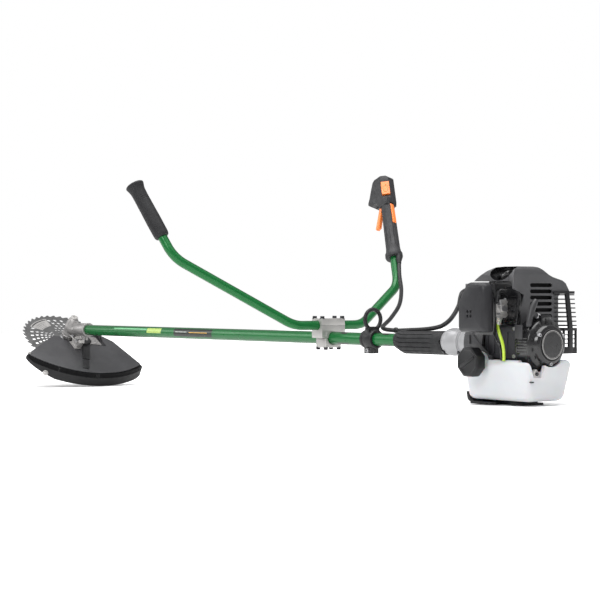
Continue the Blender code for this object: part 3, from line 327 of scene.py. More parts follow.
# Each finish: its key, its maker and the maker's arguments.
FINISHES = (
    ("green", green_paint, "painted_green"),
    ("tube", green_paint, "painted_tube", PRINT_AND_PAINTED_LIGHT),
    ("steel", turned_steel, "machined_steel", (172, 172, 174)),
    ("blade", turned_steel, "blade_steel", (132, 132, 132), 0.36, True),
    ("cast", moulded, "cast_silver", (150, 148, 147), 0.42, 0.75, 1100.0, 0.35, 0.14, 0.5, 0.0, (220, 220, 222)),
    ("bright", moulded, "cast_bright", (176, 174, 172), 0.38, 0.55, 1100.0, 0.3, 0.08, 0.4, 0.0, (235, 235, 235)),
    ("black", moulded, "black_moulding", (22, 22, 24), 0.42, 0.0, 1000.0, 0.22, 0.2, 0.35, 0.0, (84, 84, 86), 0.35),
    ("gloss", moulded, "gloss_black", (16, 16, 18), 0.22, 0.0, 700.0, 0.08, 0.15, 0.3, 0.3, (90, 90, 92)),
    ("grey", moulded, "grey_moulding", (46, 46, 48), 0.42, 0.0, 1000.0, 0.25, 0.16, 0.4, 0.0, (120, 120, 122)),
    ("guard", moulded, "guard_top", (56, 56, 58), 0.42, 0.0, 1300.0, 0.28, 0.1, 0.4, 0.0, (104, 104, 106), 0.35),
    ("skirt", moulded, "guard_skirt_side", (26, 26, 27), 0.5, 0.0, 1200.0, 0.25, 0.12, 0.3, 0.0, (70, 70, 72), 0.25),
    # Near-black and almost unreflective: painted shadow, for the recess of the guard's rim and the panel behind the
    # cover's slots.
    ("band", moulded, "guard_band_black", (7, 7, 8), 0.6, 0.0, 900.0, 0.15, 0.1, 0.2, 0.0, (40, 40, 42), 0.08),
    ("grip", soft_rubber, "grip_moulding", (42, 42, 44), 0.5),
    ("rubber", soft_rubber, "grip_rubber", (26, 26, 28)),
    ("oxide", turned_steel, "black_oxide", (46, 46, 50), 0.4, False, 0.2),
    ("dome", moulded, "clutch_cast", (154, 154, 156), 0.4, 0.35, 1100.0, 0.25, 0.05, 0.3, 0.0, (225, 225, 225)),
    ("darkcast", moulded, "dark_cast", (50, 50, 54), 0.5, 0.35, 1000.0, 0.4, 0.15, 0.5, 0.0, (120, 120, 124)),
    ("cover", moulded, "cover_moulding", (68, 68, 70), 0.4, 0.0, 1300.0, 0.25, 0.1, 0.4, 0.0, (110, 110, 112)),
    ("filter", moulded, "filter_moulding", (32, 32, 35), 0.4, 0.0, 1300.0, 0.22, 0.1, 0.4, 0.0, (96, 96, 98), 0.35),
    ("label", moulded, "disc_face", (24, 24, 26), 0.25, 0.0, 700.0, 0.05, 0.15, 0.2, 0.4, (70, 70, 72)),
    ("rope", soft_rubber, "rope_weave", (30, 30, 32), 0.8),
    ("orange", moulded, "orange_moulding", (240, 126, 52), 0.34, 0.0, 900.0, 0.15, 0.07, 0.4, 0.2, (250, 190, 140)),
    ("white", milky, "tank_plastic", (203, 205, 208)),
    ("clear", milky, "clear_soft", (200, 200, 190), 0.25),
    ("floor", sweep_white, "studio_sweep"),
    ("lime", moulded, "fuel_hose", (176, 206, 52), 0.3, 0.0, 800.0, 0.1, 0.1, 0.2, 0.4, (220, 235, 130)),
)
M = {key: maker(*details) for key, maker, *details in FINISHES}
SLOTS = {"steel": "blade", "cast": "bright dome", "black": "gloss guard skirt band oxide filter label rope",
    "green": "tube", "rubber": "grip", "grey": "darkcast cover"}
SLOT_OF = {look: slot for slot, looks in SLOTS.items() for look in looks.split()}


# Mesh helpers ------------------------------------------------------------------------------------
def circle(radius, count, start=0.0):
    return [(radius * math.cos(start + 2 * math.pi * i / count),
        radius * math.sin(start + 2 * math.pi * i / count)) for i in range(count)]


def arc(centre, radius, start, end, steps):
    """Points along an arc, with both ends, angles in degrees."""
    out = []
    for i in range(steps + 1):
        a = math.radians(start + (end - start) * i / steps)
        out.append((centre[0] + radius * math.cos(a), centre[1] + radius * math.sin(a)))
    return out


def add_lathe(bm, profile, steps, matrix=IDENTITY):
    """Spin (radius, height) points round local Z; a profile on the axis at both ends closes itself."""
    rings = []
    for radius, height in profile:
        if radius < 1e-7:
            rings.append([bm.verts.new(matrix @ Vector((0, 0, height)))])
        else:
            rings.append([bm.verts.new(matrix @ Vector((x, y, height))) for x, y in circle(radius, steps)])
    pairs = list(zip(rings, rings[1:]))
    if profile[0][0] > 1e-7:
        pairs.append((rings[-1], rings[0]))
    for a, b in pairs:
        for i in range(steps):
            j = (i + 1) % steps
            if len(a) == 1 and len(b) > 1:
                bm.faces.new((a[0], b[j], b[i]))
            elif len(b) == 1 and len(a) > 1:
                bm.faces.new((a[i], a[j], b[0]))
            elif len(a) > 1:
                bm.faces.new((a[i], a[j], b[j], b[i]))


def add_prism(bm, outline, low, high, matrix=IDENTITY):
    bottom = [bm.verts.new(matrix @ Vector((x, y, low))) for x, y in outline]
    top = [bm.verts.new(matrix @ Vector((x, y, high))) for x, y in outline]
    bm.faces.new(bottom[::-1])
    bm.faces.new(top)
    for i in range(len(outline)):
        j = (i + 1) % len(outline)
        bm.faces.new((bottom[i], bottom[j], top[j], top[i]))


def add_box(bm, low, high, matrix=IDENTITY):
    add_prism(bm, [(low[0], low[1]), (high[0], low[1]), (high[0], high[1]), (low[0], high[1])], low[2], high[2],
        matrix)


def smooth_path(points, steps=8):
    """A Catmull-Rom curve through the points."""
    pts = [Vector(p) for p in points]
    pts = [pts[0] * 2 - pts[1]] + pts + [pts[-1] * 2 - pts[-2]]
    out = []
    for a, b, c, d in zip(pts, pts[1:], pts[2:], pts[3:]):
        for i in range(steps):
            t = i / steps
            out.append(0.5 * (2 * b + (c - a) * t + (2 * a - 5 * b + 4 * c - d) * t * t
                + (3 * b - a - 3 * c + d) * t ** 3))
    out.append(pts[-2])
    return out


def rounded_path(corners, bend, steps=14):
    """Straight runs joined by arcs of one radius."""
    points = [Vector(corners[0])]
    for before, corner, after in zip(corners, corners[1:], corners[2:]):
        back = (before - corner).normalized()
        ahead = (after - corner).normalized()
        half = back.angle(ahead) / 2
        reach = bend / math.tan(half)
        centre = corner + (back + ahead).normalized() * (bend / math.sin(half))
        start = (corner + back * reach - centre).normalized()
        end = (corner + ahead * reach - centre).normalized()
        points += [centre + start.slerp(end, i / steps) * bend for i in range(steps + 1)]
    points.append(Vector(corners[-1]))
    return points


def add_skin(bm, rings, closed=False):
    """Join rings of points side by side; both ends are capped unless the rings close on themselves."""
    count = len(rings[0])
    for a, b in zip(rings, rings[1:] + rings[:1] if closed else rings[1:]):
        for i in range(count):
            j = (i + 1) % count
            bm.faces.new((a[i], a[j], b[j], b[i]))
    if not closed:
        bm.faces.new(rings[0][::-1])
        bm.faces.new(rings[-1])


def add_sweep(bm, path, radius, sides=20, section=None, side=None):
    """Carry a round (or given) section along a path without twist; radius may be a function of the share run."""
    rings = []
    last = len(path) - 1
    for index, point in enumerate(path):
        tangent = (path[min(index + 1, last)] - path[max(index - 1, 0)]).normalized()
        if side is None:
            side = tangent.orthogonal().normalized()
        side = (side - tangent * side.dot(tangent)).normalized()
        up = tangent.cross(side)
        size = radius(index / last) if callable(radius) else radius
        shape = section if section else circle(1.0, sides)
        rings.append([bm.verts.new(point + side * x * size + up * y * size) for x, y in shape])
    add_skin(bm, rings)


def add_hex(bm, across, low, high, matrix=IDENTITY):
    add_prism(bm, circle(across / math.sqrt(3), 6), low, high, matrix)


def add_screw(bm, at, way, radius, height):
    """A socket or cross head screw: a domed round head with a hexagonal recess, standing on at along way."""
    m = aimed(at, way)
    head = [(0, -height), (radius, -height), (radius, height * 0.75), (radius * 0.88, height),
        (radius * 0.52, height), (radius * 0.46, height * 0.35), (0, height * 0.35)]
    add_lathe(bm, head, 12, m)


def smooth_sheet(obj, angle=32):
    obj.data.shade_smooth()
    obj.data.set_sharp_from_angle(angle=math.radians(angle))


def fresh(name, bm, material):
    bmesh.ops.recalc_face_normals(bm, faces=bm.faces)
    mesh = bpy.data.meshes.new(name)
    bm.to_mesh(mesh)
    bm.free()
    obj = bpy.data.objects.new(name, mesh)
    bpy.context.scene.collection.objects.link(obj)
    mesh.materials.append(M[material])
    return obj


def piece(name, bm, material, body, *stands_for, bevel=0.0, segments=2, angle=32, cutters=(), joins=()):
    """One visible piece: joined, cut, bevelled, shaded, riding on its body and standing for CAD nodes.
    With no body it is left free for a blend."""
    obj = fresh(name, bm, material)
    for operation, tools in (("UNION", joins), ("DIFFERENCE", cutters)):
        for other in tools:
            step = obj.modifiers.new("shape", "BOOLEAN")
            step.operation = operation
            step.solver = "EXACT"
            step.object = other
    if bevel:
        step = obj.modifiers.new("soft", "BEVEL")
        step.width = bevel
        step.segments = segments
        step.limit_method = "ANGLE"
        step.angle_limit = math.radians(35)
    apply_all(obj)
    for other in (*joins, *cutters):
        bpy.data.objects.remove(other)
    while len(obj.data.materials) > 1:
        obj.data.materials.pop()
    smooth_sheet(obj, angle)
    if body:
        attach(obj, body)
    if stands_for:
        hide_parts(*stands_for)
    return obj


def apply_all(obj):
    if not obj.modifiers:
        return
    bpy.context.view_layer.update()
    graph = bpy.context.evaluated_depsgraph_get()
    mesh = bpy.data.meshes.new_from_object(obj.evaluated_get(graph))
    obj.modifiers.clear()
    old = obj.data
    obj.data = mesh
    bpy.data.meshes.remove(old)


def made(build, *args):
    """A new mesh holding one shape."""
    bm = bmesh.new()
    build(bm, *args)
    return bm


def tool(build, *args):
    """A helper solid that cuts or joins another and is then removed."""
    return fresh("tool", made(build, *args), "black")


def taken(obj):
    """A new mesh holding an object's shape; the object is removed."""
    bm = bmesh.new()
    bm.from_mesh(obj.data)
    bpy.data.objects.remove(obj)
    return bm


def lathe_piece(name, profile, steps, matrix, material, body, *stands_for, **extra):
    return piece(name, made(add_lathe, profile, steps, matrix), material, body, *stands_for, **extra)


# Cutting head ------------------------------------------------------------------------------------
BLADE_R = 0.1275
BLADE_Z = -0.036
TEETH = 40
GUARD_Z = -0.0224
GUARD_CENTRE = (-0.0568, 0.032)
SHEET_R = 0.2405
GUARD_FROM = -55.0
GUARD_TO = 32.0


def blade_outline():
    """Hooked teeth: a steep face, a short land and a long curved back."""
    root = BLADE_R - 0.0068
    shape = ((0.0, root), (0.05, root + 0.0018), (0.11, BLADE_R), (0.24, BLADE_R - 0.0003),
        (0.42, BLADE_R - 0.0019), (0.62, root + 0.002), (0.8, root + 0.0002))
    points = []
    for tooth in range(TEETH):
        for share, radius in shape:
            a = 2 * math.pi * (tooth + share) / TEETH
            points.append((radius * math.cos(a), radius * math.sin(a)))
    return points


def add_blade_holes(bm):
    """Swirling rows of ovals between two plain sectors, each plain sector with one long slot."""
    low, high = BLADE_Z - 0.01, BLADE_Z + 0.01
    add_prism(bm, circle(0.0127, 32), low, high)
    reaches = (0.0425, 0.0515, 0.0618, 0.0735, 0.0868, 0.1015)
    for row in range(32):
        for index, reach in enumerate(reaches):
            place = row * 11.25 + 3.6 * index
            plain = 21 if index > 1 else 8
            if min(abs((place - middle + 180) % 360 - 180) for middle in (29, 209)) < plain:
                continue
            wide = 0.0023 + 0.0004 * index
            long = 0.003 + 0.00058 * index
            m = spin(place) @ move((reach, 0, 0))
            m = m @ spin(38)
            add_prism(bm, [(long * x, wide * y) for x, y in circle(1.0, 14)], low, high, m)


def add_blade_marks(bm):
    """Printed marks: a long curved bar and a few plain lines in each plain sector."""
    low, high = BLADE_Z + 0.0007, BLADE_Z + 0.00102
    for start in (192, 12):
        add_prism(bm, arc((0, 0), 0.1074, start, start + 36, 20) + arc((0, 0), 0.104, start + 36, start, 20),
            low, high)
        for row, reach in enumerate((0.096, 0.0905, 0.085, 0.0795)):
            first = start + 5 + 2 * row
            add_prism(bm, arc((0, 0), reach, first, start + 30, 12)
                + arc((0, 0), reach - 0.0009, start + 30, first, 12), low, high)


def build_blade():
    blade = piece("circular_blade", made(add_prism, blade_outline(), BLADE_Z - 0.0009, BLADE_Z + 0.0009),
        "blade", None, cutters=[tool(add_blade_holes)], angle=25)
    blade.data.transform(HEAD)
    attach(blade, "output")
    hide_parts("saw_blade")
    bm = bmesh.new()
    for start in (190, 10):
        add_prism(bm, arc((0, 0), 0.1105, start, start + 40, 20)
            + arc((0, 0), 0.075, start + 37, start + 3, 20), BLADE_Z + 0.0006, BLADE_Z + 0.00096)
    bm.transform(HEAD)
    piece("blade_plain_panels", bm, "bright", "output", angle=25)
    bm = made(add_blade_marks)
    bm.transform(HEAD)
    piece("blade_marks", bm, "oxide", "output", angle=25)


def add_gear_rooms(bm):
    room = mm((0, 16), (8, 15), (15.5, 7), (15.5, -10.2), (13.3, -10.2), (13.3, -30), (0, -30))
    add_lathe(bm, room, 32, HEAD)


def add_tube_seat(bm):
    seat = mm((0, 0), (11.8, 0), (11.8, 13.5), (6.3, 13.5), (6.3, 28.2), (14.3, 28.2), (14.3, 120), (0, 120))
    add_lathe(bm, seat, 48, NECK)


def add_neck(bm):
    profile = mm((0, 6), (16, 6), (16, 20), (16.6, 23), (16.6, 31), (18.2, 34), (18.2, 85.5), (17.6, 86.5),
        (17.6, 88.5), (19.4, 89.5), (19.4, 97.8), (18.6, 98.5), (0, 98.5))
    add_lathe(bm, profile, 48, NECK)


def add_neck_lugs(bm):
    """Split clamp lugs under the neck."""
    for side in (-1, 1):
        low, high = sorted((side * 0.0011, side * 0.009))
        add_box(bm, (0.048, low, -0.0285), (0.08, high, -0.012), move(HEAD_AT))


def build_gearhead():
    dome = mm((0, 39.5), (5.2, 39.3), (9.2, 37.6), (12.2, 34.4), (14.4, 30.2), (16, 25), (17.2, 19), (17.8, 14),
        (18.6, 12.5), (18.6, 4), (18, 2.6), (18, -8), (18.6, -9.5), (18.6, -15), (20, -16.5), (20, -23.4),
        (19.2, -24), (0, -24))
    bm = made(add_lathe, dome, 48, HEAD)
    parts = [tool(add_neck), tool(add_neck_lugs)]
    cuts = [tool(add_gear_rooms), tool(add_tube_seat)]
    piece("gearbox_casting", bm, "cast", "frame", "gearbox_housing", bevel=0.0005, angle=40, joins=parts,
        cutters=cuts)
    cap = mm((0, 38.8), (10, 38.8), (10, 40.8), (9.2, 41.6), (5.5, 41.6), (5, 39.8), (0, 39.8))
    lathe_piece("gearbox_top_cap", cap, 32, HEAD, "bright", "frame", angle=30)
    bm = bmesh.new()
    for step in range(4):
        m = HEAD @ spin(45 + 90 * step)
        add_screw(bm, m @ Vector((0.018, 0, -0.015)), HEAD_UP, 0.003, 0.0022)
    add_screw(bm, HEAD_AT + Vector((0.058, -0.009, -0.0215)), (0, -1, 0), 0.0046, 0.0042)
    add_screw(bm, HEAD_AT + Vector((0.072, -0.009, -0.0215)), (0, -1, 0), 0.0046, 0.0042)
    add_screw(bm, HEAD_AT + Vector((0.04, -0.0178, 0.002)), (0, -1, 0), 0.004, 0.003)
    piece("gearbox_screws", bm, "bright", "frame", angle=30)


def guard_outline():
    rim = arc(GUARD_CENTRE, SHEET_R, GUARD_TO, GUARD_FROM, 64)
    return rim + [(-0.004, -0.048)] + arc((0, 0), 0.026, -90, 90, 24) + mm((-6, 100), (30, 128), (90, 144))


def add_arc_wall(bm, inner, outer, low, high, start=GUARD_FROM, end=GUARD_TO, steps=64):
    out = arc(GUARD_CENTRE, outer, start, end, steps)
    back = arc(GUARD_CENTRE, inner, end, start, steps)
    add_prism(bm, out + back, low, high, HEAD)


def skirt_depth(share):
    """How far the skirt's edge hangs below the sheet, tapering away at its left end."""
    full = 0.008 + 0.029 * min(1.0, share / 0.25) ** 0.6
    return full * (1 - 0.12 * max(0.0, (share - 0.95) / 0.05) ** 2)


def add_skirt(bm, steps=72):
    rings = []
    for step in range(steps + 1):
        share = step / steps
        a = math.radians(GUARD_FROM + (GUARD_TO - GUARD_FROM) * share)
        top = GUARD_Z - 0.005 - 0.009 * min(1.0, share / 0.07) * min(1.0, (1 - share) / 0.02)
        low = GUARD_Z - 0.003 - skirt_depth(share)
        section = ((0.2412, top), (0.2466, top), (0.2478, top - 0.0012), (0.248, low + 0.0012), (0.2472, low),
            (0.2455, low), (0.2455, top - 0.0024), (0.2412, top - 0.0024))
        rings.append([bm.verts.new(HEAD @ Vector((GUARD_CENTRE[0] + r * math.cos(a),
            GUARD_CENTRE[1] + r * math.sin(a), z))) for r, z in section])
    add_skin(bm, rings)


def add_guard_channel(bm):
    """The raised radial channel with a step half way, rising to a block beside the bracket."""
    m = HEAD @ move((0.028, 0.042, GUARD_Z)) @ spin(-26.4)
    add_prism(bm, mm((6, -10.8), (100, -10), (100, 10), (6, 10.8)), -0.0005, 0.0034, m)
    add_prism(bm, mm((104, -8.8), (150, -8.4), (150, 8.4), (104, 8.8)), -0.0005, 0.003, m)
    add_prism(bm, mm((25, 14), (48, 15), (52, 30), (40, 52), (23, 52)), GUARD_Z - 0.0005, GUARD_Z + 0.0085,
        HEAD)


def build_guard():
    piece("guard_sheet", made(add_prism, guard_outline(), GUARD_Z - 0.003, GUARD_Z, HEAD), "guard", "frame",
        "guard_shell", bevel=0.0007, angle=40)
    # The rim band sits in a real recess; its near-black colour is painted shadow in that recess.
    piece("guard_rim_band", made(add_arc_wall, 0.2375, 0.2462, GUARD_Z - 0.0145, GUARD_Z - 0.0029), "band",
        "frame", angle=30)
    piece("guard_skirt_band", made(add_skirt), "skirt", "frame", "guard_skirt", angle=30)
    piece("guard_channel", made(add_guard_channel), "black", "frame", bevel=0.0009, angle=40)
    bm = bmesh.new()
    for angle, width in ((-54.0, 0.9), (-32.5, 0.6), (-7.9, 0.35), (-6.9, 0.35), (-5.9, 0.35), (29.5, 0.8)):
        add_arc_wall(bm, 0.244, 0.2474, GUARD_Z - 0.014, GUARD_Z - 0.0028, angle - width / 2, angle + width / 2,
            3)
    piece("guard_rim_ribs", bm, "skirt", "frame", angle=30)
    build_guard_fittings()


def build_guard_fittings():
    """Knife, its bolt, the corner screw and the stiffening fins."""
    place = HEAD @ move((*GUARD_CENTRE, GUARD_Z - 0.04)) @ spin(-40)
    bm = bmesh.new()
    blade = mm((-13.8, 4.5), (10, 4.5), (13.8, 10), (13.8, 25.5), (-13.8, 25.5))
    flat = Matrix(((0, 0, 1, 0), (1, 0, 0, 0), (0, 1, 0, 0), (0, 0, 0, 1)))
    add_prism(bm, blade, 0.2402, 0.2416, place @ flat)
    piece("line_cutting_knife", bm, "steel", "frame", "line_knife", bevel=0.0003)
    bm = bmesh.new()
    way = place.to_3x3() @ Vector((1, 0, 0))
    m = aimed(place @ Vector((0.2478, 0, 0.0105)), way)
    add_lathe(bm, mm((0, -4), (7.8, -4), (7.8, 0.8), (7.2, 1.4), (0, 1.4)), 24, m)
    add_hex(bm, 0.0105, 0.001, 0.0058, m)
    add_lathe(bm, mm((0, 1), (2.8, 1), (2.8, 7.2), (2.2, 7.8), (0, 7.8)), 16, m)
    piece("knife_bolt", bm, "bright", "frame", bevel=0.0004)
    piece("guard_corner_screw", made(add_screw, HEAD @ Vector((0.08, -0.16, GUARD_Z)), HEAD_UP, 0.0042, 0.0024),
        "bright", "frame", angle=30)
    bm = bmesh.new()
    stand = HEAD @ spin(90, "X")
    low = GUARD_Z - 0.0005
    for y in (-0.09, -0.0848):
        add_prism(bm, [(-0.006, low), (0.046, low), (0.04, low + 0.0035), (0.004, low + 0.02),
            (-0.004, low + 0.02)], y - 0.0012, y + 0.0012, stand)
    add_prism(bm, guard_fin(), GUARD_Z - 0.0005, GUARD_Z + 0.0018, HEAD)
    piece("guard_side_fin", bm, "black", "frame", bevel=0.0005, angle=40)


def guard_fin():
    return mm((-8, 80), (48, 80), (52, 94), (-8, 94))


def build_bracket():
    """Foot, web and bolting flange between the guard and the gearbox neck, and the plate beside them."""
    low = GUARD_Z + 0.0003
    upright = HEAD @ spin(90, "X")
    slope = math.tan(HEAD_TILT)
    clear = 0.0192 / math.cos(HEAD_TILT)
    web = [(0.033, low + 0.001), (0.062, low + 0.001), (0.07, 0.0), (0.062, 0.062 * slope - clear),
        (0.033, 0.033 * slope - clear)]
    flange = tool(add_box, *mm((29, -15, -3), (64, 14, 0.6)), HEAD)
    foot = tool(add_box, (0.03, -0.013, low), (0.066, 0.0055, low + 0.003), HEAD)
    piece("guard_mount_bracket", made(add_prism, web, -0.008, 0.008, upright), "bright", "frame",
        "guard_bracket", bevel=0.0006, angle=40, joins=[flange, foot])
    bm = made(add_prism, mm((8, 59), (44, 47), (50, 80), (12, 79)), low, low + 0.0022, HEAD)
    holes = []
    for row in range(4):
        for column in range(4):
            at = HEAD @ move((0.0165 + 0.0085 * row, 0.061 + 0.0048 * column, 0))
            holes.append(tool(add_prism, circle(0.0017, 10), low + 0.0012, low + 0.02, at))
    piece("guard_side_plate", bm, "cast", "frame", bevel=0.0003, angle=40, cutters=holes)
    bm = bmesh.new()
    for x, y in mm((35, -10.5), (35, 10), (58.5, -10.5), (58.5, 10)):
        m = aimed(HEAD @ Vector((x, y, 0.0006)), HEAD_UP)
        add_lathe(bm, mm((0, -1), (4.6, -1), (4.6, 0.8), (0, 0.8)), 20, m)
        add_hex(bm, 0.007, 0.0006, 0.0046, m)
    piece("bracket_bolts", bm, "steel", "frame", bevel=0.0003, angle=30)


build_blade()
build_gearhead()
build_guard()
build_bracket()


# Tube, clamp and harness hanger ------------------------------------------------------------------
CLAMP_X = BAR_AT.x
BAR_Z = BAR_AT.z
HANGER_X = -0.447


def build_tube():
    pipe = [(0.0125, -1.73), (0.0136, -1.73), (TUBE_R, -1.7296), (TUBE_R, -0.1754), (0.0136, -0.175),
        (0.0125, -0.175)]
    lathe_piece("main_tube", pipe, 72, SHAFT, "tube", "frame", "drive_tube")


def add_rod(bm, radius, low, high, matrix, steps=40):
    add_lathe(bm, [(0, low), (radius, low), (radius, high), (0, high)], steps, matrix)


def clamp_block(name, node, low, high, cuts):
    bm = made(add_box, low, high)
    piece(name, bm, "bright", "frame", node, bevel=0.0028, segments=4, angle=40, cutters=cuts)


def build_clamp():
    """Three cast blocks round the tube and the bar, with pockets and grooves, and black socket bolts."""
    x = CLAMP_X
    tube = move((x, 0, SHAFT_Z)) @ AXIAL
    bar = move((x, 0, BAR_Z)) @ SIDE_ON
    along = (-0.05, 0.05)
    pocket = [tool(add_box, (x + 0.0178, y, 0.125), (x + 0.03, y + 0.007, 0.134)) for y in (-0.0275, 0.0205)]
    groove = [tool(add_box, (x - 0.003 + shift, -0.05, 0.1632), (x - 0.001 + shift, 0.05, 0.17))
        for shift in (-0.004, 0.008)]
    clamp_block("clamp_lower_block", "clamp_base", (x - 0.0175, -0.0225, 0.0985), (x + 0.0175, 0.0225, 0.1197),
        [tool(add_rod, 0.0143, *along, tube)])
    clamp_block("clamp_centre_block", "clamp_middle", (x - 0.0185, -0.033, 0.12), (x + 0.0185, 0.033, 0.1482),
        [tool(add_rod, 0.0143, *along, tube), tool(add_rod, 0.0108, -0.06, 0.06, bar)] + pocket)
    clamp_block("clamp_upper_block", "clamp_cap", (x - 0.0185, -0.033, 0.1485), (x + 0.0185, 0.033, 0.164),
        [tool(add_rod, 0.0108, -0.06, 0.06, bar)] + groove)
    bm = bmesh.new()
    for dx in (-0.0138, 0.0138):
        for y in (-0.0285, 0.0285):
            socket_bolt(bm, (x + dx, y, 0.164), (0, 0, 1), 0.0048, 0.0054)
        for y in (-0.0185, 0.0185):
            socket_bolt(bm, (x + dx, y, 0.0985), (0, 0, -1), 0.0046, 0.005)
    piece("clamp_bolt_heads", bm, "oxide", "frame", "clamp_bolt_1", "clamp_bolt_2", "clamp_bolt_3",
        "clamp_bolt_4")


def socket_bolt(bm, at, way, radius, height):
    m = aimed(at, way)
    head = [(0, -0.001), (radius * 1.15, -0.001), (radius * 1.15, 0.0008), (radius, 0.0008),
        (radius, height - 0.0005), (radius - 0.0005, height), (radius * 0.56, height),
        (radius * 0.52, height * 0.45), (0, height * 0.45)]
    add_lathe(bm, head, 24, m)


def build_hanger():
    """Band with two flanges, an upright eye on a saddle and a split boss drawn together by a screw."""
    at = move((HANGER_X, 0, SHAFT_Z))
    band = mm((14.3, -20), (18, -20), (20, -18.6), (20, -13), (18.6, -11.8), (18.6, -8.5), (21.2, -7.2),
        (21.4, 14.5), (19.6, 18.5), (14.3, 18.5))
    bm = made(add_lathe, band, 48, at @ AXIAL)
    ring = move((-0.443, 0, 0.163)) @ AXIAL
    eye = [(0.022 + 0.0045 * x, 0.0042 * y) for x, y in circle(1.0, 14, math.pi / 14)]
    saddle = mm((-16.5, 10), (-15, 23.5), (-10.5, 27.5), (10.5, 27.5), (15, 23.5), (16.5, 10))
    joins = [tool(add_lathe, eye, 48, ring), tool(add_prism, saddle, -0.005, 0.0085, at @ END_ON),
        tool(add_box, *mm((-13, -10.5, -31), (11, 10.5, -15)), at)]
    cuts = [tool(add_box, *mm((-30, -0.7, -50), (30, 0.7, -10)), at),
        tool(add_rod, 0.0144, -0.05, 0.05, at @ AXIAL)]
    piece("hanger_clamp", bm, "black", "frame", "harness_hanger", bevel=0.0009, angle=40, joins=joins,
        cutters=cuts)
    bm = bmesh.new()
    socket_bolt(bm, at @ Vector((-0.001, -0.0105, -0.0245)), (0, -1, 0), 0.0042, 0.0036)
    add_hex(bm, 0.0075, 0.01, 0.0138, at @ move((-0.001, 0, -0.0245)) @ spin(-90, "X"))
    piece("hanger_screw", bm, "steel", "frame")


SLEEVE_RADII = mm((-355, 18.2), (-353.5, 19.4), (-348, 20), (-346.5, 21.2), (-340, 23.2), (-330, 24.2),
    (-290, 24.5), (-228, 25), (-199, 25.2), (-197.3, 24.6))
SLEEVE_DROPS = mm((-355, 0), (-346.5, 0), (-330, 4.2), (-197.3, 2.6))


def between(marks, x):
    """The value at x along straight runs between (x, value) marks."""
    for (x0, v0), (x1, v1) in zip(marks, marks[1:]):
        if x <= x1:
            return v0 + (v1 - v0) * (x - x0) / (x1 - x0)
    return marks[-1][1]


def build_sleeve():
    """The rubber sleeve in front of the engine: flutes, a smooth nose ring and a notched rear lip.
    Its body hangs a little below the shaft's axis."""
    count = 112
    places = [-0.355, -0.3535, -0.348, -0.3465, -0.34, -0.335] + [-0.33 + 0.01 * i for i in range(10)]
    places += [-0.233, -0.228, -0.215, -0.199, -0.1973]
    rings = []
    bm = bmesh.new()
    for x in places:
        deep = 0.0017 if -0.342 < x < -0.229 else 0.0
        ring = []
        for i in range(count):
            a = 2 * math.pi * i / count
            r = between(SLEEVE_RADII, x) - deep * (1.0 if i % 7 == 0 else 0.0)
            ring.append(bm.verts.new((x, r * math.cos(a), SHAFT_Z - between(SLEEVE_DROPS, x) + r
                * math.sin(a))))
        rings.append(ring)
    for x, r in mm((-197.3, 21.6), (-208, 19), (-208, 14.3), (-355, 14.3)):
        rings.append([bm.verts.new((x, r * math.cos(2 * math.pi * i / count),
            SHAFT_Z + r * math.sin(2 * math.pi * i / count))) for i in range(count)])
    add_skin(bm, rings, closed=True)
    notches = []
    for step in range(6):
        turn = move((0, 0, SHAFT_Z)) @ spin(60 * step + 30, "X")
        notches.append(tool(add_prism, circle(0.0052, 16), 0.0215, 0.04, turn @ move((-0.1973, 0, 0))))
    piece("rear_sleeve", bm, "rubber", "frame", "rear_sleeve_grip", angle=28, cutters=notches)


# Handlebar, grips and controls -------------------------------------------------------------------
def bar_corners():
    """The bar's corner points, from the left grip's end to the right grip's end."""
    left = BAR_AT + Vector((0, -0.097, 0))
    left_top = left + Vector((-0.6236, -1.732, 1)) * 0.1495
    left_end = left_top + Vector((-0.5345, -0.291, 1)) * 0.1622
    right = BAR_AT + Vector((0, 0.097, 0))
    right_top = right + Vector((-0.6236, 1.732, 1)) * 0.0917
    right_end = right_top + Vector((-0.5345, 0.291, 1)) * 0.259
    return [left_end, left_top, left, right, right_top, right_end]


def facing(at, up):
    """A frame at a point, with Z up and X leaning forward."""
    z = up.normalized()
    y = z.cross(Vector((-1, 0, 0))).normalized()
    return move(at) @ Matrix((y.cross(z), y, z)).transposed().to_4x4()


CORNERS = bar_corners()
LEFT_GRIP = facing(CORNERS[0], CORNERS[0] - CORNERS[1])
THROTTLE = facing(CORNERS[-1], CORNERS[-1] - CORNERS[-2])
THROTTLE_SIDE = THROTTLE @ SIDE_ON
SWITCH = THROTTLE @ move((-0.007, 0.007, -0.033)) @ spin(-45)


def build_bar():
    corners = [c.copy() for c in CORNERS]
    corners[0] = LEFT_GRIP @ Vector((0, 0, -0.0045))
    corners[-1] = THROTTLE @ Vector((0, 0, -0.1403))
    piece("bull_bar", made(add_sweep, rounded_path(corners, 0.075, 20), BAR_R, 40), "green", "handlebar",
        "handlebar_tube", angle=40)


def build_left_grip():
    end = -0.137
    outer = mm((0, 0.6), (12, 0.4), (18, -0.8), (20.4, -2.6), (20.8, -4.8), (20, -8), (18.2, -13), (17, -19),
        (16.6, -28))
    for ridge in range(3):
        z = -0.033 - ridge * 0.0045
        outer += [(0.0166, z), (0.0162, z - 0.0008), (0.0162, z - 0.0016), (0.0166, z - 0.0024)]
    outer += [(0.0168, -0.07), (0.0172, -0.095), (0.0169, end + 0.009), (0.0165, end + 0.005),
        (0.0152, end + 0.0012), (0.014, end), (0.0108, end), (0.0108, -0.004), (0, -0.004)]
    lathe_piece("left_grip_rubber", outer, 56, LEFT_GRIP, "rubber", "handlebar", "left_grip", angle=24)


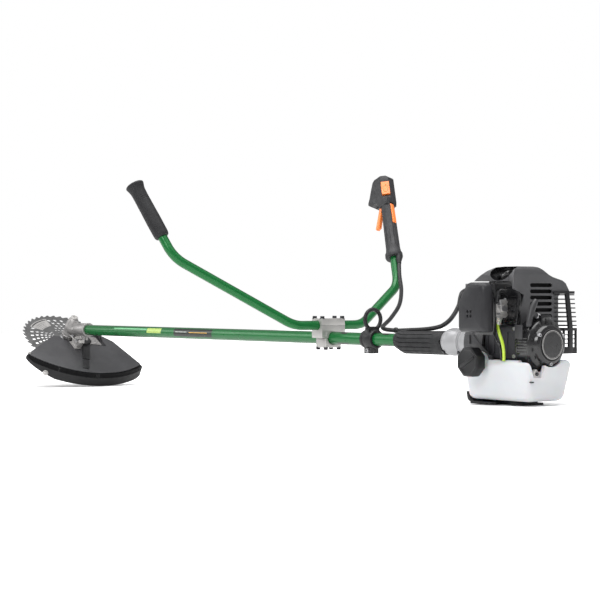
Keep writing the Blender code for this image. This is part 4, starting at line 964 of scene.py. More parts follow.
def build_throttle():
    """The throttle grip: a hollow two-shell moulding with ribs, a flared foot and windows for its controls."""
    head = mm((-16, 0), (-12, 5.2), (19, 5.2), (25.5, 1), (34.5, -18), (42, -36), (48.6, -48), (48.6, -54),
        (45, -58), (30, -60), (20.5, -64), (16, -72), (14, -80), (-14, -80), (-16, -70))
    bm = made(add_prism, head, -0.016, 0.016, THROTTLE_SIDE)
    end = -0.228
    barrel = [(0, -0.06), (0.0158, -0.06), (0.0164, -0.12), (0.0172, end + 0.026), (0.0184, end + 0.017),
        (0.021, end + 0.011), (0.0213, end + 0.004), (0.02, end), (0, end)]
    t = THROTTLE
    cuts = [tool(add_rod, 0.0108, end - 0.01, -0.14, t), tool(add_box, *mm((3, -5.3, -130), (60, 5.3, -57)), t),
        tool(add_box, *mm((-30, -5.8, -136), (-2, 5.8, -74.5)), t),
        tool(add_box, *mm((-30, -30, -29), (-3.5, 30, 45)), SWITCH),
        tool(add_box, *mm((-30, -10.8, -21), (5, 10.8, 21)), SWITCH),
        tool(add_box, *mm((40, -20, -38), (60, 20, -37.2)), t)]
    for angle in (-66, -33, 0, 33, 66):
        for half in (0, 180):
            turn = t @ spin(angle + 90 + half)
            cuts.append(tool(add_box, (0.0158, -0.0006, end + 0.03), (0.02, 0.0006, -0.142), turn))
    piece("throttle_shell", bm, "grip", "handlebar", "throttle_housing", bevel=0.0016, segments=3, angle=40,
        joins=[tool(add_lathe, barrel, 48, t)], cutters=cuts)
    bm = bmesh.new()
    for x, z in mm((8, -11), (33, -45), (6, -70)):
        add_screw(bm, t @ Vector((x, -0.0162, z)), t.to_3x3() @ Vector((0, -1, 0)), 0.0028, 0.0012)
    piece("throttle_screws", bm, "oxide", "handlebar")


def build_controls():
    """Trigger, lockout lever and rocker switch."""
    trigger_at = THROTTLE @ move((0.011, 0, -0.064)) @ SIDE_ON
    trigger = mm((-4, 3), (4, 4), (11, -4), (17, -16), (23.5, -32), (31, -49), (34.2, -56), (33.8, -60),
        (31, -61.6), (22, -59), (15, -39), (8, -18), (-4, -6))
    piece("trigger_lever", made(add_prism, trigger, -0.0047, 0.0047, trigger_at), "orange", "trigger",
        "throttle_trigger", bevel=0.0014, segments=3)
    lock_at = THROTTLE @ move((-0.009, 0, -0.0815)) @ SIDE_ON
    lock = mm((-6, 4), (3, 4), (2, -5), (-3, -50), (-6.6, -53), (-9.2, -50), (-9.6, -43), (-8.5, -8))
    piece("lockout_lever_body", made(add_prism, lock, -0.0052, 0.0052, lock_at), "orange", "lockout",
        "lockout_lever", bevel=0.0014, segments=3)
    rocker = mm((-7.4, 18), (-5.8, 8), (-5.2, 0), (-5.8, -8), (-7.4, -18), (2, -18), (2, 18))
    bm = made(add_prism, rocker, -0.0101, 0.0101, SWITCH @ SIDE_ON)
    dish = SWITCH @ move((-0.006, 0, 0)) @ spin(-90, "Y")
    outer = [(0.0105 * x, 0.006 * y) for x, y in circle(1.0, 32)]
    inner = [(0.009 * x, 0.0047 * y) for x, y in circle(1.0, 32)]
    ring = tool(add_prism, outer, -0.003, 0.0013, dish)
    piece("rocker_switch", bm, "orange", "switch", "stop_switch", bevel=0.0005, segments=2, joins=[ring],
        cutters=[tool(add_prism, inner, 0.0006, 0.01, dish)])


def build_cable():
    """The throttle cable's sheath, its entry boot at the grip and a tie."""
    start = THROTTLE @ Vector((0, 0, -0.23)) + Vector((0.019, -0.002, 0))
    path = [start, (-0.641, 0.248, 0.264), (-0.594, 0.213, 0.228), (-0.54, 0.16, 0.194), (-0.492, 0.094, 0.165),
        (-0.45, 0.034, 0.145), (-0.403, 0.022, 0.14), (-0.352, 0.018, 0.141), (-0.29, 0.016, 0.144),
        (-0.2434, 0.01, 0.149), (-0.2173, 0.004, 0.155), (-0.1901, -0.004, 0.1655), (-0.163, -0.015, 0.1799),
        (-0.1403, -0.025, 0.1964), (-0.1221, -0.038, 0.2107), (-0.1, -0.053, 0.2215), (-0.075, -0.0605, 0.2265),
        (-0.03, -0.061, 0.226), (0.002, -0.06, 0.214)]
    sheath = piece("cable_sheath", made(add_sweep, smooth_path(path, 10), 0.0047, 20), "black", None,
        "throttle_cable", angle=60)
    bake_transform(sheath)
    way = (Vector((-0.641, 0.248, 0.264)) - start).normalized()
    m = aimed(start, way)
    boot = mm((0, -14), (6.6, -14), (7.4, -12), (7.4, 2), (6, 6), (5.2, 16), (0, 16))
    lathe_piece("cable_boot", boot, 24, m, "rubber", "handlebar")
    place = move((-0.39, 0.0208, 0.1403)) @ AXIAL
    tie = mm((5, -2), (6.2, -2), (6.2, 2), (5, 2))
    lathe_piece("cable_tie", tie, 20, place, "black", "frame")


build_tube()
build_clamp()
build_hanger()
build_sleeve()
build_bar()
build_left_grip()
build_throttle()
build_controls()
build_cable()


# Engine: clutch, fan and crankcase ---------------------------------------------------------------
def build_clutch_housing():
    outer = mm((31.2, -100.3), (46, -100.3), (46, -106.6), (45, -107.8), (35.2, -112.4), (33.8, -127),
        (30.4, -133.5), (28.4, -137.5))
    for rib in range(3):
        x = -0.1378 - 0.0046 * rib
        outer += [(0.0284, x), (0.0284, x - 0.0022), (0.0268, x - 0.0028), (0.0268, x - 0.004)]
    outer += mm((26.4, -153), (27.2, -160), (28.4, -170), (29, -178), (28.8, -183), (28, -188), (26.4, -193),
        (24, -197.5), (20, -203), (14.3, -207.6))
    inner = mm((14.3, -174.7), (9.8, -174.7), (9.8, -136), (31.2, -131))
    lathe_piece("clutch_casting", outer + inner, 72, SHAFT, "dome", "frame", "clutch_housing", angle=28)
    bm = bmesh.new()
    for step in range(4):
        add_screw(bm, round_shaft(-0.1078, 0.0405, 45 + 90 * step), (-1, 0, 0), 0.0042, 0.004)
    for at, way in (((-0.191, -0.0196, 0.1004), (-0.3, -0.7, -0.7)), ((-0.146, -0.02, 0.1), (0, -0.7, -0.7))):
        add_screw(bm, at, way, 0.0036, 0.0036)
    piece("clutch_screws", bm, "oxide", "frame")


def build_fan_housing():
    """Fan cowl with a stepped rim and radial vents in its front, and the ribbed bracket beside it."""
    profile = mm((31.5, -100), (48, -100), (51.2, -98.4), (52, -95.5), (52, -76), (50.8, -74.5), (50.8, -70),
        (52, -68.5), (52, -45), (48, -45), (48, -96), (31.5, -96))
    bm = made(add_lathe, profile, 72, SHAFT)
    vents = [tool(add_prism, mm((35, -1.6), (45.5, -2.2), (45.5, 2.2), (35, 1.6)), -0.11, -0.09,
        SHAFT @ spin(15 * step)) for step in range(24) if step % 6]
    piece("fan_cowl", bm, "grey", "frame", "fan_housing", angle=30, cutters=vents)
    bm = bmesh.new()
    strut = mm((-96, 138), (-70, 138), (-20, 96), (-12, 89), (-48, 89))
    add_prism(bm, strut, 0.0488, 0.053, SIDE_ON)
    foot = tool(add_box, *mm((-43.5, -52.5, 89.5), (-16, -44.6, 98.5)))
    for rib in range(4):
        x = -0.08 + 0.0135 * rib
        z = 0.129 - 0.0112 * rib
        add_prism(bm, [(x, z - 0.01), (x + 0.003, z - 0.01), (x + 0.003, z + 0.009), (x, z + 0.009)], 0.0528,
            0.0552, SIDE_ON)
    piece("fan_cowl_bracket", bm, "grey", "frame", bevel=0.0008, joins=[foot])


def build_crankcase():
    """Case with pockets in its left wall, the V-shaped starter carrier behind it, and their screws."""
    outline = mm((-44, 94), (-30, 76), (30, 76), (44, 94), (44, 152), (39, 157), (-39, 157), (-44, 152))
    bm = made(add_prism, outline, -0.0447, 0.0447, END_ON)
    cuts = [tool(add_rod, 0.024, -0.017, 0.017, SHAFT), tool(add_rod, 0.0063, -0.06, 0.06, SHAFT),
        tool(add_rod, 0.0173, 0.13, 0.17, IDENTITY)]
    for x in (-0.036, -0.018, 0.0, 0.018):
        cuts.append(tool(add_box, (x, -0.06, 0.101), (x + 0.0135, -0.0428, 0.145)))
    piece("crankcase_casting", bm, "darkcast", "frame", "crankcase", bevel=0.0014, angle=40, cutters=cuts)
    bm = bmesh.new()
    wall = mm((-50, 159), (-46.5, 159), (-44, 116.5), (-25, 87), (-12, 60), (1, 56), (14, 60), (23.5, 87),
        (26, 85), (16.5, 57), (1, 52.5), (-15, 57.5), (-28.2, 85), (-47.5, 115))
    add_prism(bm, wall, 0.044, 0.064, END_ON)
    piece("starter_carrier", bm, "grey", "frame", bevel=0.0008, angle=40)
    bm = bmesh.new()
    fill = mm((-44, 116.5), (-25, 87), (-12, 60), (1, 56), (14, 60), (23.5, 87), (23.5, 110), (-40, 150))
    add_prism(bm, fill, 0.044, 0.047, END_ON)
    piece("carrier_web", bm, "black", "frame", bevel=0.0004)
    bm = made(add_screw, (0.047, 0.001, 0.064), (1, 0, 0), 0.005, 0.004)
    for y, z in ((-0.035, 0.15), (-0.034, 0.112)):
        add_screw(bm, (0.047, y, z), (1, 0, 0), 0.0038, 0.0034)
    for x, z in mm((-39, 150.5), (38.5, 150.5), (-39, 97.5), (38.5, 97.5)):
        add_screw(bm, (x, -0.044, z), (0, -1, 0), 0.004, 0.0036)
    piece("case_screws", bm, "steel", "frame")


def build_starter():
    """Recoil starter: slotted cup, plain centre disc with two rings, screws, rope guide and its spring."""
    cup = mm((0, 95.2), (30, 95.2), (30.6, 95.8), (33, 95.8), (36.6, 94.4), (38.6, 92.5), (40.2, 86.6),
        (48, 82.2), (50, 79.5), (50, 45), (46.5, 45), (46.5, 77), (37, 83), (5, 83), (5, 59), (0, 59))
    bm = made(add_lathe, cup, 80, SHAFT)
    guide = tool(add_box, *mm((60, -18, 156), (86, 8, 178)))
    rope = move((0.073, -0.013, 0.1745)) @ PULL.to_quaternion().to_matrix().to_4x4()
    cuts = [tool(add_rod, 0.003, -0.04, 0.03, rope, 20)]
    for step in range(16):
        if step in (3, 4, 5):
            continue
        turn = SHAFT @ spin(22.5 * step + 11)
        cuts.append(tool(add_prism, mm((40.8, -3.4), (52, -4.4), (52, 4.4), (40.8, 3.4)), 0.084, 0.1, turn))
    for step in range(9):
        low = 0.0935 + step * 0.0062
        cuts.append(tool(add_box, (0.05, -0.052, low), (0.076, -0.0478 + 0.0004, low + 0.003)))
    piece("starter_cup", bm, "gloss", "frame", "starter_housing", bevel=0.0007, angle=34, joins=[guide],
        cutters=cuts)
    disc = mm((0, 95), (28.8, 95), (29.2, 96.2), (28.6, 96.6), (0, 96.9))
    lathe_piece("starter_disc", disc, 72, move((0, 0.0012, 0.0004)) @ SHAFT, "label", "frame", angle=30)
    bm = bmesh.new()
    for low, high in ((0.027, 0.0281), (0.0252, 0.0255)):
        ring = [(low, 0.096), (high, 0.096), (high, 0.0971), (low, 0.0971)]
        add_lathe(bm, ring, 72, move((0, 0.0012, 0.0004)) @ SHAFT)
    piece("starter_disc_rings", bm, "bright", "frame", angle=30)
    bm = bmesh.new()
    for angle in (148, 28, 268):
        add_screw(bm, round_shaft(0.0935, 0.0372, angle), (1, 0, 0), 0.0036, 0.0034)
    piece("starter_screws", bm, "steel", "frame")
    bm = bmesh.new()
    coil = []
    for i in range(73):
        a = 2 * math.pi * i / 16
        coil.append(rope @ Vector((0.0052 * math.cos(a), 0.0052 * math.sin(a), 0.001 + 0.0062 * i / 72)))
    add_sweep(bm, coil, 0.0007, 8)
    piece("rope_guide_spring", bm, "steel", "frame", angle=60)


ROPE_WAY = Vector((0, -0.93, 0.37)).normalized()
PULL_Y = ROPE_WAY.cross(Vector((1, 0, 0))).normalized()
PULL = move((0.073, -0.013, 0.1745)) @ Matrix((PULL_Y.cross(ROPE_WAY), PULL_Y, ROPE_WAY)).transposed().to_4x4()


def build_pull():
    """The T handle on its stem, and the rope that pays out behind it."""
    grip = [PULL @ Vector((0, y, 0.0222 - 5 * y * y)) for y in [-0.0275 + 0.0055 * i for i in range(11)]]
    bm = made(add_sweep, grip, lambda share: 0.0046 + 0.0018 * math.sin(math.pi * min(1, max(0, share))) ** 0.5,
        24)
    stem = mm((0, 7.8), (5.2, 7.8), (5.8, 9), (5.2, 11), (6, 15), (6, 22.2), (0, 22.2))
    bore = tool(add_rod, 0.0028, 0.0, 0.013, PULL, 16)
    piece("pull_handle", bm, "grey", "pull", "starter_handle", bevel=0.0008, angle=40,
        joins=[tool(add_lathe, stem, 28, PULL)], cutters=[bore])
    bm = bmesh.new()
    path = [PULL @ Vector((0, 0, -0.025 + 0.0375 * i / 16)) for i in range(17)]
    add_sweep(bm, path, 0.0019, 12)
    rope = piece("pull_rope", bm, "rope", None, "starter_rope", angle=60)
    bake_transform(rope)


# Engine: cylinder side, intake and cover ---------------------------------------------------------
def build_cylinder():
    """Finned cylinder, a near-black panel of painted shade behind the cover's slots, and the glossy shroud beside
    it.
    """
    profile = mm((17, 157.3), (30, 157.3), (30, 162), (21, 162))
    for fin in range(8):
        low = 0.166 + fin * 0.008
        profile += [(0.021, low), (0.0352, low), (0.036, low + 0.0005), (0.036, low + 0.0015),
            (0.0352, low + 0.002), (0.021, low + 0.002)]
    profile += mm((21, 233), (5.3, 233), (5.3, 214), (17, 210.5))
    lathe_piece("finned_cylinder", profile, 56, IDENTITY, "darkcast", "frame", "cylinder", angle=28)
    shroud = mm((-10, 160), (44, 160), (47.8, 186), (50.5, 211), (47.5, 222), (40, 226.2), (0, 229), (-10, 222))
    bm = made(add_prism, shroud, 0.0372, 0.044, SIDE_ON)
    cuts = [tool(add_box, (0.001 + 0.0004 * i, -0.046, 0.1662 + 0.0088 * i),
        (0.04 + 0.0009 * i, -0.0425, 0.1704 + 0.0088 * i)) for i in range(6)]
    # A near-black ribbed panel behind the cover's rear slots: painted shade for the dark inside of the cover.
    shade_panel = made(add_box, *mm((37, -10, 159), (38.2, 64, 244)))
    for rib in range(9):
        low = 0.162 + 0.009 * rib
        add_box(shade_panel, (0.038, -0.01, low), (0.0398, 0.064, low + 0.0016))
    piece("painted_shade_panel", shade_panel, "band", "frame", angle=30)
    piece("cylinder_shroud", bm, "gloss", "frame", bevel=0.0016, segments=3, angle=40, cutters=cuts)


def build_intake():
    """Air cleaner cover with four small holes, and its backplate."""
    outline = mm((-60, 150), (-59, 146.2), (-55.5, 144), (14, 144), (17.8, 145.8), (19, 150), (19, 226),
        (17, 234), (13, 239), (7, 241.5), (-30, 241.5), (-35, 239.8), (-39.5, 235), (-57.5, 207), (-59.2, 203),
        (-60, 198))
    middle = Vector((-0.0205, 0.191))
    bm = bmesh.new()
    rings = []
    for y, inset in mm((85.3, 0), (95, 0), (99, 0.8), (102.5, 2.8), (104.8, 5.8), (106, 10)):
        ring = []
        for x, z in outline:
            p = Vector((x, z)) - middle
            ring.append(bm.verts.new((middle.x + p.x * (1 - inset / 0.04), -y,
                middle.y + p.y * (1 - inset / 0.049))))
        rings.append(ring)
    add_skin(bm, rings)
    room = [(middle.x + (x - middle.x) * 0.88, middle.y + (z - middle.y) * 0.9) for x, z in outline]
    cuts = [tool(add_prism, room, 0.08, 0.1015, SIDE_ON)]
    for angle in (45, 135, 225, 315):
        a = math.radians(angle)
        at = move((-0.024 + 0.0062 * math.cos(a), 0, 0.18 + 0.0062 * math.sin(a))) @ SIDE_ON
        cuts.append(tool(add_prism, circle(0.0033, 16), 0.104, 0.12, at))
    cuts.append(tool(add_box, *mm((-56, -107, 150), (-55.2, -105.2, 198))))
    piece("air_cleaner_cover", bm, "filter", "air_cover", "air_filter_cover", angle=30, cutters=cuts)
    bm = made(add_box, *mm((-57, -85, 145), (21.5, -76, 239)))
    lugs = [tool(add_box, *mm((19, -77.5, 200), (31, -76.5, 212))),
        tool(add_box, *mm((-30, -84.5, 139.5), (20, -76.5, 147)))]
    piece("air_cleaner_backplate", bm, "gloss", "frame", "air_filter_base", bevel=0.001, joins=lugs)
    build_carburettor()


def build_carburettor():
    """Carburettor with its fittings and spring, primer, fuel fitting, choke arm and two hoses."""
    bm = made(add_box, *mm((-18, -75.7, 174.5), (18, -38.5, 208)))
    pump = tool(add_box, *mm((-15.5, -72, 172), (15.5, -41.5, 176)))
    boss = tool(add_rod, 0.0082, 0.015, 0.0225, move((0, -0.057, 0.19)) @ AXIAL, 28)
    well = tool(add_rod, 0.0088, 0.16, 0.1765, move((-0.0025, -0.0505, 0)), 28)
    piece("carburettor_body", bm, "bright", "frame", "carburettor", bevel=0.0012, joins=[pump, boss],
        cutters=[well])
    bm = bmesh.new()
    for x in (-0.013, 0.013):
        for y in (-0.07, -0.044):
            add_screw(bm, (x, y, 0.2078), (0, 0, 1), 0.0028, 0.0026)
    for z in (0.18, 0.2):
        add_screw(bm, (0.0178, -0.069, z), (1, 0, 0), 0.0026, 0.005)
    add_prism(bm, mm((-6, -4), (7, -6), (9, 2), (0, 7.5), (-6, 4)), 0.0, 0.0014,
        move((0.0225, -0.057, 0.19)) @ END_ON)
    piece("carburettor_fittings", bm, "steel", "frame")
    coil = []
    for i in range(97):
        a = 2 * math.pi * i / 16
        coil.append(Vector((0.019 + 0.009 * i / 96 * 0.2, -0.064 + 0.0036 * math.cos(a),
            0.206 - 0.015 * i / 96)) + Vector((0.0036 * math.sin(a), 0, 0)))
    piece("throttle_return_spring", made(add_sweep, coil, 0.0005, 6), "steel", "frame", angle=60)
    primer = mm((0, 157), (4.6, 157.4), (7, 159.2), (8.1, 162.5), (8.4, 166), (8.4, 172), (0, 172))
    lathe_piece("primer_dome", primer, 36, move((-0.0025, -0.0505, 0)), "clear", "primer", "primer_bulb",
        angle=40)
    collar = mm((8.9, 169), (10.4, 169), (10.8, 171.2), (10.8, 176), (8.9, 176))
    lathe_piece("primer_collar", collar, 36, move((-0.0025, -0.0505, 0)), "bright", "frame")
    fitting = mm((0, 156), (2.6, 156), (3.4, 160), (3.4, 164), (5.2, 165.5), (5.2, 169), (4, 170), (4, 174),
        (6, 175.2), (6, 180), (0, 180))
    lathe_piece("fuel_fitting", fitting, 28, move((0.0105, -0.0622, 0)), "clear", "frame", angle=30)
    arm = mm((-2.6, -2.6), (0, -3.6), (3, -2.6), (4.8, 9), (6.6, 16), (5, 18.8), (1.8, 18.4), (0.6, 10),
        (-2.6, 3))
    piece("choke_arm", made(add_prism, arm, -0.002, 0.002, move((0.026, -0.08, 0.206)) @ SIDE_ON), "black",
        "choke", "choke_lever", bevel=0.0006)
    lime = mm((10.5, -62.2, 164), (11.2, -63, 156), (18.5, -64.5, 140), (26.2, -64, 122), (27.2, -62, 106),
        (23.5, -58, 89))
    piece("lime_fuel_hose", made(add_sweep, smooth_path(lime, 10), 0.0031, 20), "lime", "frame", "fuel_line",
        angle=60)
    dark = mm((-6, -56, 166), (-7, -58, 150), (4, -60, 132), (15, -60, 115), (16, -57, 89))
    piece("return_hose", made(add_sweep, smooth_path(dark, 10), 0.0023, 16), "gloss", "frame", angle=60)


def cover_section(inset=0.0):
    points = mm((-52, 216), (-52, 256), (-48, 265), (-40, 271.2), (-32, 273), (18, 273), (26, 270.5),
        (44, 257.5), (56, 252.5), (84, 245.5), (93, 240), (103, 225), (106, 214), (106, 164), (52, 158),
        (-30, 158), (-35, 185))
    return inset_outline(points, inset)


def cover_side(inset=0.0):
    points = mm((-75, 150), (44, 150), (44, 258), (41.5, 266), (35, 271.8), (27, 273), (-6, 273), (-18, 271.2),
        (-33, 264.5), (-48, 256), (-60, 249), (-70, 242), (-75, 232))
    return inset_outline(points, inset)


def inset_outline(points, amount):
    """An outline drawn in towards its middle by the same distance on each axis."""
    xs = [x for x, _ in points]
    ys = [y for _, y in points]
    cx, cy = (min(xs) + max(xs)) / 2, (min(ys) + max(ys)) / 2
    sx = 1 - 2 * amount / (max(xs) - min(xs))
    sy = 1 - 2 * amount / (max(ys) - min(ys))
    return [(cx + (x - cx) * sx, cy + (y - cy) * sy) for x, y in points]


def overlap(first, second):
    """What two solids share, as one solid; the second is removed."""
    step = first.modifiers.new("both", "BOOLEAN")
    step.operation = "INTERSECT"
    step.solver = "EXACT"
    step.object = second
    apply_all(first)
    bpy.data.objects.remove(second)
    return first


def add_scoop(bm, grow=0.0):
    """The scooped recess round the spark plug's boot, open at the cover's left top edge."""
    profile = [(math.sin(math.pi * i / 20) * 1.0, math.cos(math.pi * i / 20)) for i in range(21)]
    profile[0] = (0, 1.0)
    profile[-1] = (0, -1.0)
    m = move((0.008, -0.045, 0.263)) @ spin(-10, "Y")
    m = m @ Matrix.Diagonal((0.031 + grow, 0.029 + grow, 0.018 + grow, 1))
    add_lathe(bm, profile, 40, m)


def build_cover():
    """The engine cover: rounded shell, rear vents, a styling groove and the plug recess with its liner."""
    shell = tool(add_prism, cover_section(), -0.075, 0.044, END_ON)
    solid = overlap(shell, tool(add_prism, cover_side(), -0.2, 0.2, SIDE_ON))
    room = overlap(tool(add_prism, cover_section(0.0025), -0.0725, 0.0412, END_ON),
        tool(add_prism, cover_side(0.0025), -0.2, 0.2, SIDE_ON))
    cuts = [room, tool(add_box, *mm((-80, -60, 100), (40, 100, 174))),
        tool(add_box, *mm((-70, -70, 150), (40, -10, 244))), tool(add_scoop)]
    for slot in range(7):
        low = 0.1592 + slot * 0.0122
        ends = arc((0.051, low + 0.0038), 0.0038, -90, 90, 6) + arc((-0.003, low + 0.0038), 0.0038, 90, 270, 6)
        cuts.append(tool(add_prism, ends, 0.035, 0.05, END_ON))
    cuts.append(tool(add_prism, groove_outline(), 0.03, 0.0313, END_ON))
    left_edge = mm((-90, 229), (-52, 229), (-24, 217), (-35, 183.5), (-44, 158), (-44, 140), (-90, 140))
    cuts.append(tool(add_prism, left_edge, 0.038, 0.06, END_ON))
    muffler_side = mm((71.5, 140), (71.5, 213), (76, 219.5), (120, 221.5), (120, 140))
    cuts.append(tool(add_prism, muffler_side, -0.08, 0.06, END_ON))
    bm = taken(solid)
    piece("engine_shroud", bm, "cover", "frame", "engine_cover", bevel=0.0018, segments=3, angle=38,
        cutters=cuts)
    liner = tool(add_scoop, 0.0022)
    liner = overlap(liner, tool(add_prism, cover_section(0.001), -0.07, 0.04, END_ON))
    liner = overlap(liner, tool(add_prism, cover_side(0.001), -0.2, 0.2, SIDE_ON))
    bm = taken(liner)
    piece("plug_recess_liner", bm, "gloss", "frame", angle=40, cutters=[tool(add_scoop)])
    boot = mm((0, -10), (7.8, -10), (8.4, -6), (8, 6), (6.6, 10), (0, 10.8))
    at = move((0.008, -0.033, 0.256)) @ spin(70, "Y")
    lathe_piece("plug_lead_elbow", boot, 28, at, "gloss", "frame")
    bm = bmesh.new()
    lead = mm((14, -33, 257.5), (6, -33, 255), (-12, -35, 254), (-30, -33, 244))
    add_sweep(bm, smooth_path(lead, 8), 0.0032, 16)
    piece("plug_lead", bm, "black", "frame", angle=60)


def groove_outline():
    """A thin band just under the cover's skin that cuts the styling groove."""
    return mm((-60, 210), (-60, 290), (20, 290), (20, 272.2), (-31.8, 272.2), (-39.4, 270.4), (-47.2, 264.5),
        (-51.2, 255.8), (-51.2, 210))


# Engine: muffler, tank and stand -----------------------------------------------------------------
def build_muffler():
    """Pressed muffler box with a seam, and its guard of thin rails on a slanting post."""
    bm = made(add_box, *mm((-35, 40, 168), (30, 84, 220)))
    seam = tool(add_box, *mm((-36.5, 61, 166.5), (31.5, 63.5, 221.5)))
    piece("muffler_box", bm, "steel", "frame", "muffler", bevel=0.004, segments=3, joins=[seam])
    bm = bmesh.new()
    for rail in range(9):
        z = 0.216 - 0.0088 * rail
        reach = 0.112 + 0.001 * rail
        plan = [(-0.06, reach + 0.0022), (-0.06, reach), (0.0452, reach), (0.0452, 0.06), (0.0475, 0.06),
            (0.0475, reach + 0.0022)]
        add_prism(bm, plan, z, z + 0.0024)
    piece("muffler_guard_rails", bm, "black", "frame", "muffler_guard", bevel=0.0004)
    bm = bmesh.new()
    top = mm((42.5, 56), (48.5, 56), (48.5, 114), (-60, 114), (-60, 109), (42.5, 109))
    add_prism(bm, top, 0.219, 0.2245)
    post = mm((88, 224), (97.5, 224), (103, 190), (108.5, 149), (108.5, 104), (97.5, 104), (97.5, 149),
        (92.5, 190))
    add_prism(bm, post, 0.044, 0.0492, END_ON)
    for low, high in ((0.1, 0.1125), (0.1462, 0.151)):
        plan = mm((-60, 120.5), (-60, 117), (44.5, 117), (44.5, 82), (49, 82), (49, 120.5))
        add_prism(bm, plan, low, high)
    for y in (0.082, 0.116):
        add_box(bm, (0.0448, y, 0.112), (0.0488, y + 0.0044, 0.147))
    for z in (0.1195, 0.128, 0.1365):
        add_box(bm, (0.0452, 0.086, z), (0.0474, 0.1165, z + 0.0022))
    for x in (-0.06, -0.008):
        add_box(bm, (x, 0.1172, 0.112), (x + 0.005, 0.1204, 0.22))
    piece("muffler_guard_frame", bm, "black", "frame", bevel=0.0006)


def shape_tank(bm, low=0.01, high=0.09):
    """Draw the tank in towards its floor, more on the muffler's side."""
    for vert in bm.verts:
        share = (vert.co.z - low) / (high - low)
        vert.co.x *= 0.9 + 0.1 * share
        vert.co.y *= 0.88 + 0.12 * share if vert.co.y < 0 else 0.74 + 0.26 * share


def build_tank():
    """The fuel tank: a softly rounded moulding with a trough, a rear notch, a filler neck and a hollow inside."""
    bm = made(add_box, *mm((-93, -62, 10), (97, 62, 90)))
    shape_tank(bm)
    body = fresh("tank_body", bm, "white")
    soft = body.modifiers.new("soft", "BEVEL")
    soft.width = 0.013
    soft.segments = 6
    soft.limit_method = "NONE"
    apply_all(body)
    bm = taken(body)
    neck = tool(add_rod, 0.0205, 0.045, 0.086, FILLER, 40)
    hollow = mm((0, -120), (56, -120), (56, 86.5), (43, 86.5), (43, 120), (0, 120))
    notch = mm((-60, 95), (-47, 57.5), (-25, 57.5), (-12, 95))
    inner = made(add_box, *mm((-85, -54, 18), (89, 54, 56)))
    shape_tank(inner)
    cuts = [tool(add_lathe, hollow, 72, SHAFT), tool(add_prism, notch, 0.06, 0.12, END_ON),
        fresh("room", inner, "white"), tool(add_rod, 0.0165, 0.048, 0.1, FILLER, 32),
        tool(add_box, *mm((-54.5, -55, 50), (-34.5, -48, 85)))]
    piece("tank_moulding", bm, "white", "frame", "fuel_tank", bevel=0.001, angle=35, joins=[neck], cutters=cuts)
    piece("tank_notch_clip", made(add_prism, mm((-46, 56), (-26, 56), (-29, 67), (-35.5, 74), (-42, 67)), 0.08,
        0.09, END_ON), "bright", "frame", bevel=0.0008)
    bm = made(add_screw, (0.0898, -0.0355, 0.0645), (1, 0, 0), 0.0036, 0.003)
    add_prism(bm, arc((-0.0475, 0.049), 0.0013, -90, 90, 5) + arc((-0.053, 0.049), 0.0013, 90, 270, 5), 0.089,
        0.0938, END_ON)
    piece("tank_small_fittings", bm, "oxide", "frame")
    build_cap()


FILLER = move((-0.0445, 0, 0.085)) @ SIDE_ON


def build_cap():
    """Eight-sided filler cap with a stepped face and a finger bar."""
    start = math.pi / 8
    rings = []
    bm = bmesh.new()
    for radius, height in mm((30.6, 70), (31.2, 74.5), (31.2, 88.5), (29.6, 92.5), (26.4, 93.8), (25, 92.2),
            (20.5, 91.6)):
        rings.append([bm.verts.new(FILLER @ Vector((x, y, height))) for x, y in circle(radius, 8, start)])
    add_skin(bm, rings)
    turn = FILLER @ spin(28)
    bar = tool(add_box, *mm((-21.5, -3.5, 90), (21.5, 3.5, 94)), turn)
    bore = tool(add_rod, 0.0212, 0.06, 0.0865, FILLER, 40)
    piece("filler_cap", bm, "black", "cap", "fuel_cap", bevel=0.0012, segments=3, angle=30, joins=[bar],
        cutters=[bore])


def build_stand():
    """The stand under the tank: front foot with a lip and an upright, spine and rear foot, grooved below."""
    bm = made(add_prism, mm((-88, -38), (-84, -46), (-28, -46), (-20, -38), (-20, 38), (-28, 46), (-84, 46),
        (-88, 38)), 0.0, 0.0052)
    upright = mm((-99.5, 2), (-70, 2), (-86, 20), (-93.5, 40), (-93.5, 67), (-99.5, 67))
    lip = mm((-80, 1), (-78, 5), (-85, 11), (-90, 24), (-96.5, 24), (-93, 8))
    joins = [tool(add_box, *mm((-40, -18, 0), (40, 18, 9.2))), tool(add_box, *mm((15, -30, 0), (44, 30, 4.8))),
        tool(add_prism, upright, -0.02, 0.02, SIDE_ON), tool(add_prism, lip, -0.0455, 0.0455, SIDE_ON)]
    cuts = [tool(add_box, (x, -0.05, -0.001), (x + 0.003, 0.05, 0.0022))
        for x in (-0.07, -0.054, -0.038, 0.029)]
    piece("tank_stand", bm, "black", "frame", "engine_stand", bevel=0.001, angle=40, joins=joins, cutters=cuts)


build_clutch_housing()
build_fan_housing()
build_crankcase()
build_starter()
build_pull()
build_cylinder()
build_intake()
build_cover()
build_muffler()
build_tank()
build_stand()


# Finishes of the CAD nodes that stay visible ---------------------------------------------------
def repaint():
    """Give every CAD node the procedural finish of its own material."""
    for name, obj in frame["nodes"].items():
        look = "blade" if name == "saw_blade" else old_look(obj)
        obj.data.materials.clear()
        obj.data.materials.append(M[look])


def old_look(obj):
    """The finish that matches the CAD material of a node."""
    name = obj.data.materials[0].name.split(".")[0] if obj.data.materials else "grey"
    return name if name in M else "grey"


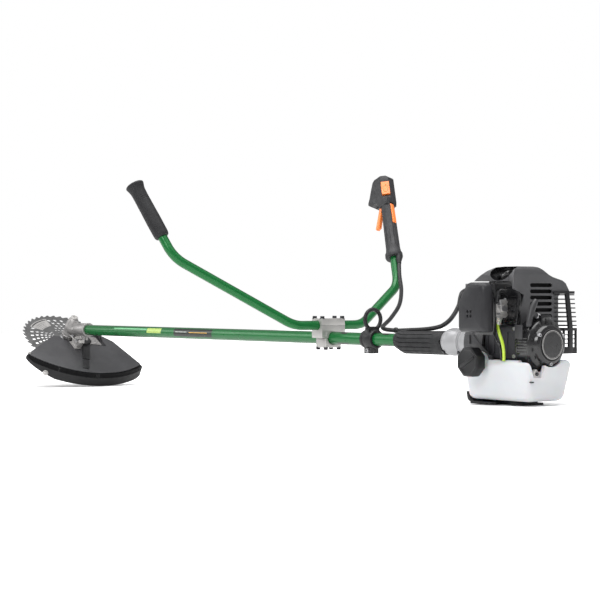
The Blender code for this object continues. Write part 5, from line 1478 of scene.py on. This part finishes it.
# Floor, light and camera -------------------------------------------------------------------------
FLOOR_TOUCH = (-1.65, -0.0345)
FLOOR_HALF = 30
FLOOR_GAP = 0.0006
STUDIO_MIDDLE = (-0.8, 0, 0.15)
LIGHTS = (("overhead", (-0.6, -0.4, 3.4), (5.0, 3.2), 210), ("key", (0.9, -3.4, 2.2), (1.8, 1.2), 55),
    ("side", (-3.6, -1.8, 1.4), (1.6, 1.6), 22))
AMBIENT = 0.42
CAMERA_AT = (2.414, -2.393, 0.218)
CAMERA_WAY = (-0.7934, 0.6088, 0)
CAMERA_LENS = 102.2
CAMERA_SHIFT = -0.00933


def build_floor():
    """A pale floor through the stand's underside and the guard's lowest edge."""
    slope = math.atan2(-FLOOR_TOUCH[1], -FLOOR_TOUCH[0])
    turn = move((0, 0, -FLOOR_GAP)) @ Matrix.Rotation(-slope, 4, "Y")
    slab = made(add_box, (-FLOOR_HALF, -FLOOR_HALF, -0.02), (FLOOR_HALF, FLOOR_HALF, 0.0), turn)
    floor = fresh("studio_floor", slab, "floor")


def area_light(name, at, size, power):
    data = bpy.data.lights.new(name, "AREA")
    data.shape = "RECTANGLE"
    data.size, data.size_y = size
    data.energy = power
    lamp = bpy.data.objects.new(name, data)
    lamp.location = at
    lamp.rotation_euler = (Vector(STUDIO_MIDDLE) - Vector(at)).to_track_quat("-Z", "Y").to_euler()
    bpy.context.scene.collection.objects.link(lamp)


def build_world():
    """White to the camera, softer to everything else, so that dark parts keep their depth."""
    world = bpy.data.worlds.new("studio")
    world.use_nodes = True
    tree = world.node_tree
    path = tree.nodes.new("ShaderNodeLightPath")
    level = tree.nodes.new("ShaderNodeMapRange")
    level.inputs["To Min"].default_value = AMBIENT
    level.inputs["To Max"].default_value = 1.0
    tree.links.new(path.outputs["Is Camera Ray"], level.inputs["Value"])
    background = tree.nodes["Background"]
    background.inputs["Color"].default_value = (1, 1, 1, 1)
    tree.links.new(level.outputs["Result"], background.inputs["Strength"])
    bpy.context.scene.world = world
    bpy.context.scene.view_settings.view_transform = "Standard"


def build_studio():
    build_world()
    for light in LIGHTS:
        area_light(*light)


def build_camera():
    data = bpy.data.cameras.new("photo")
    data.lens = CAMERA_LENS
    data.sensor_width = 36.0
    data.shift_y = CAMERA_SHIFT
    data.clip_end = 100
    camera = bpy.data.objects.new("photo", data)
    camera.location = CAMERA_AT
    camera.rotation_euler = Vector(CAMERA_WAY).to_track_quat("-Z", "Y").to_euler()
    bpy.context.scene.collection.objects.link(camera)
    bpy.context.scene.camera = camera


repaint()
build_floor()
build_studio()
build_camera()
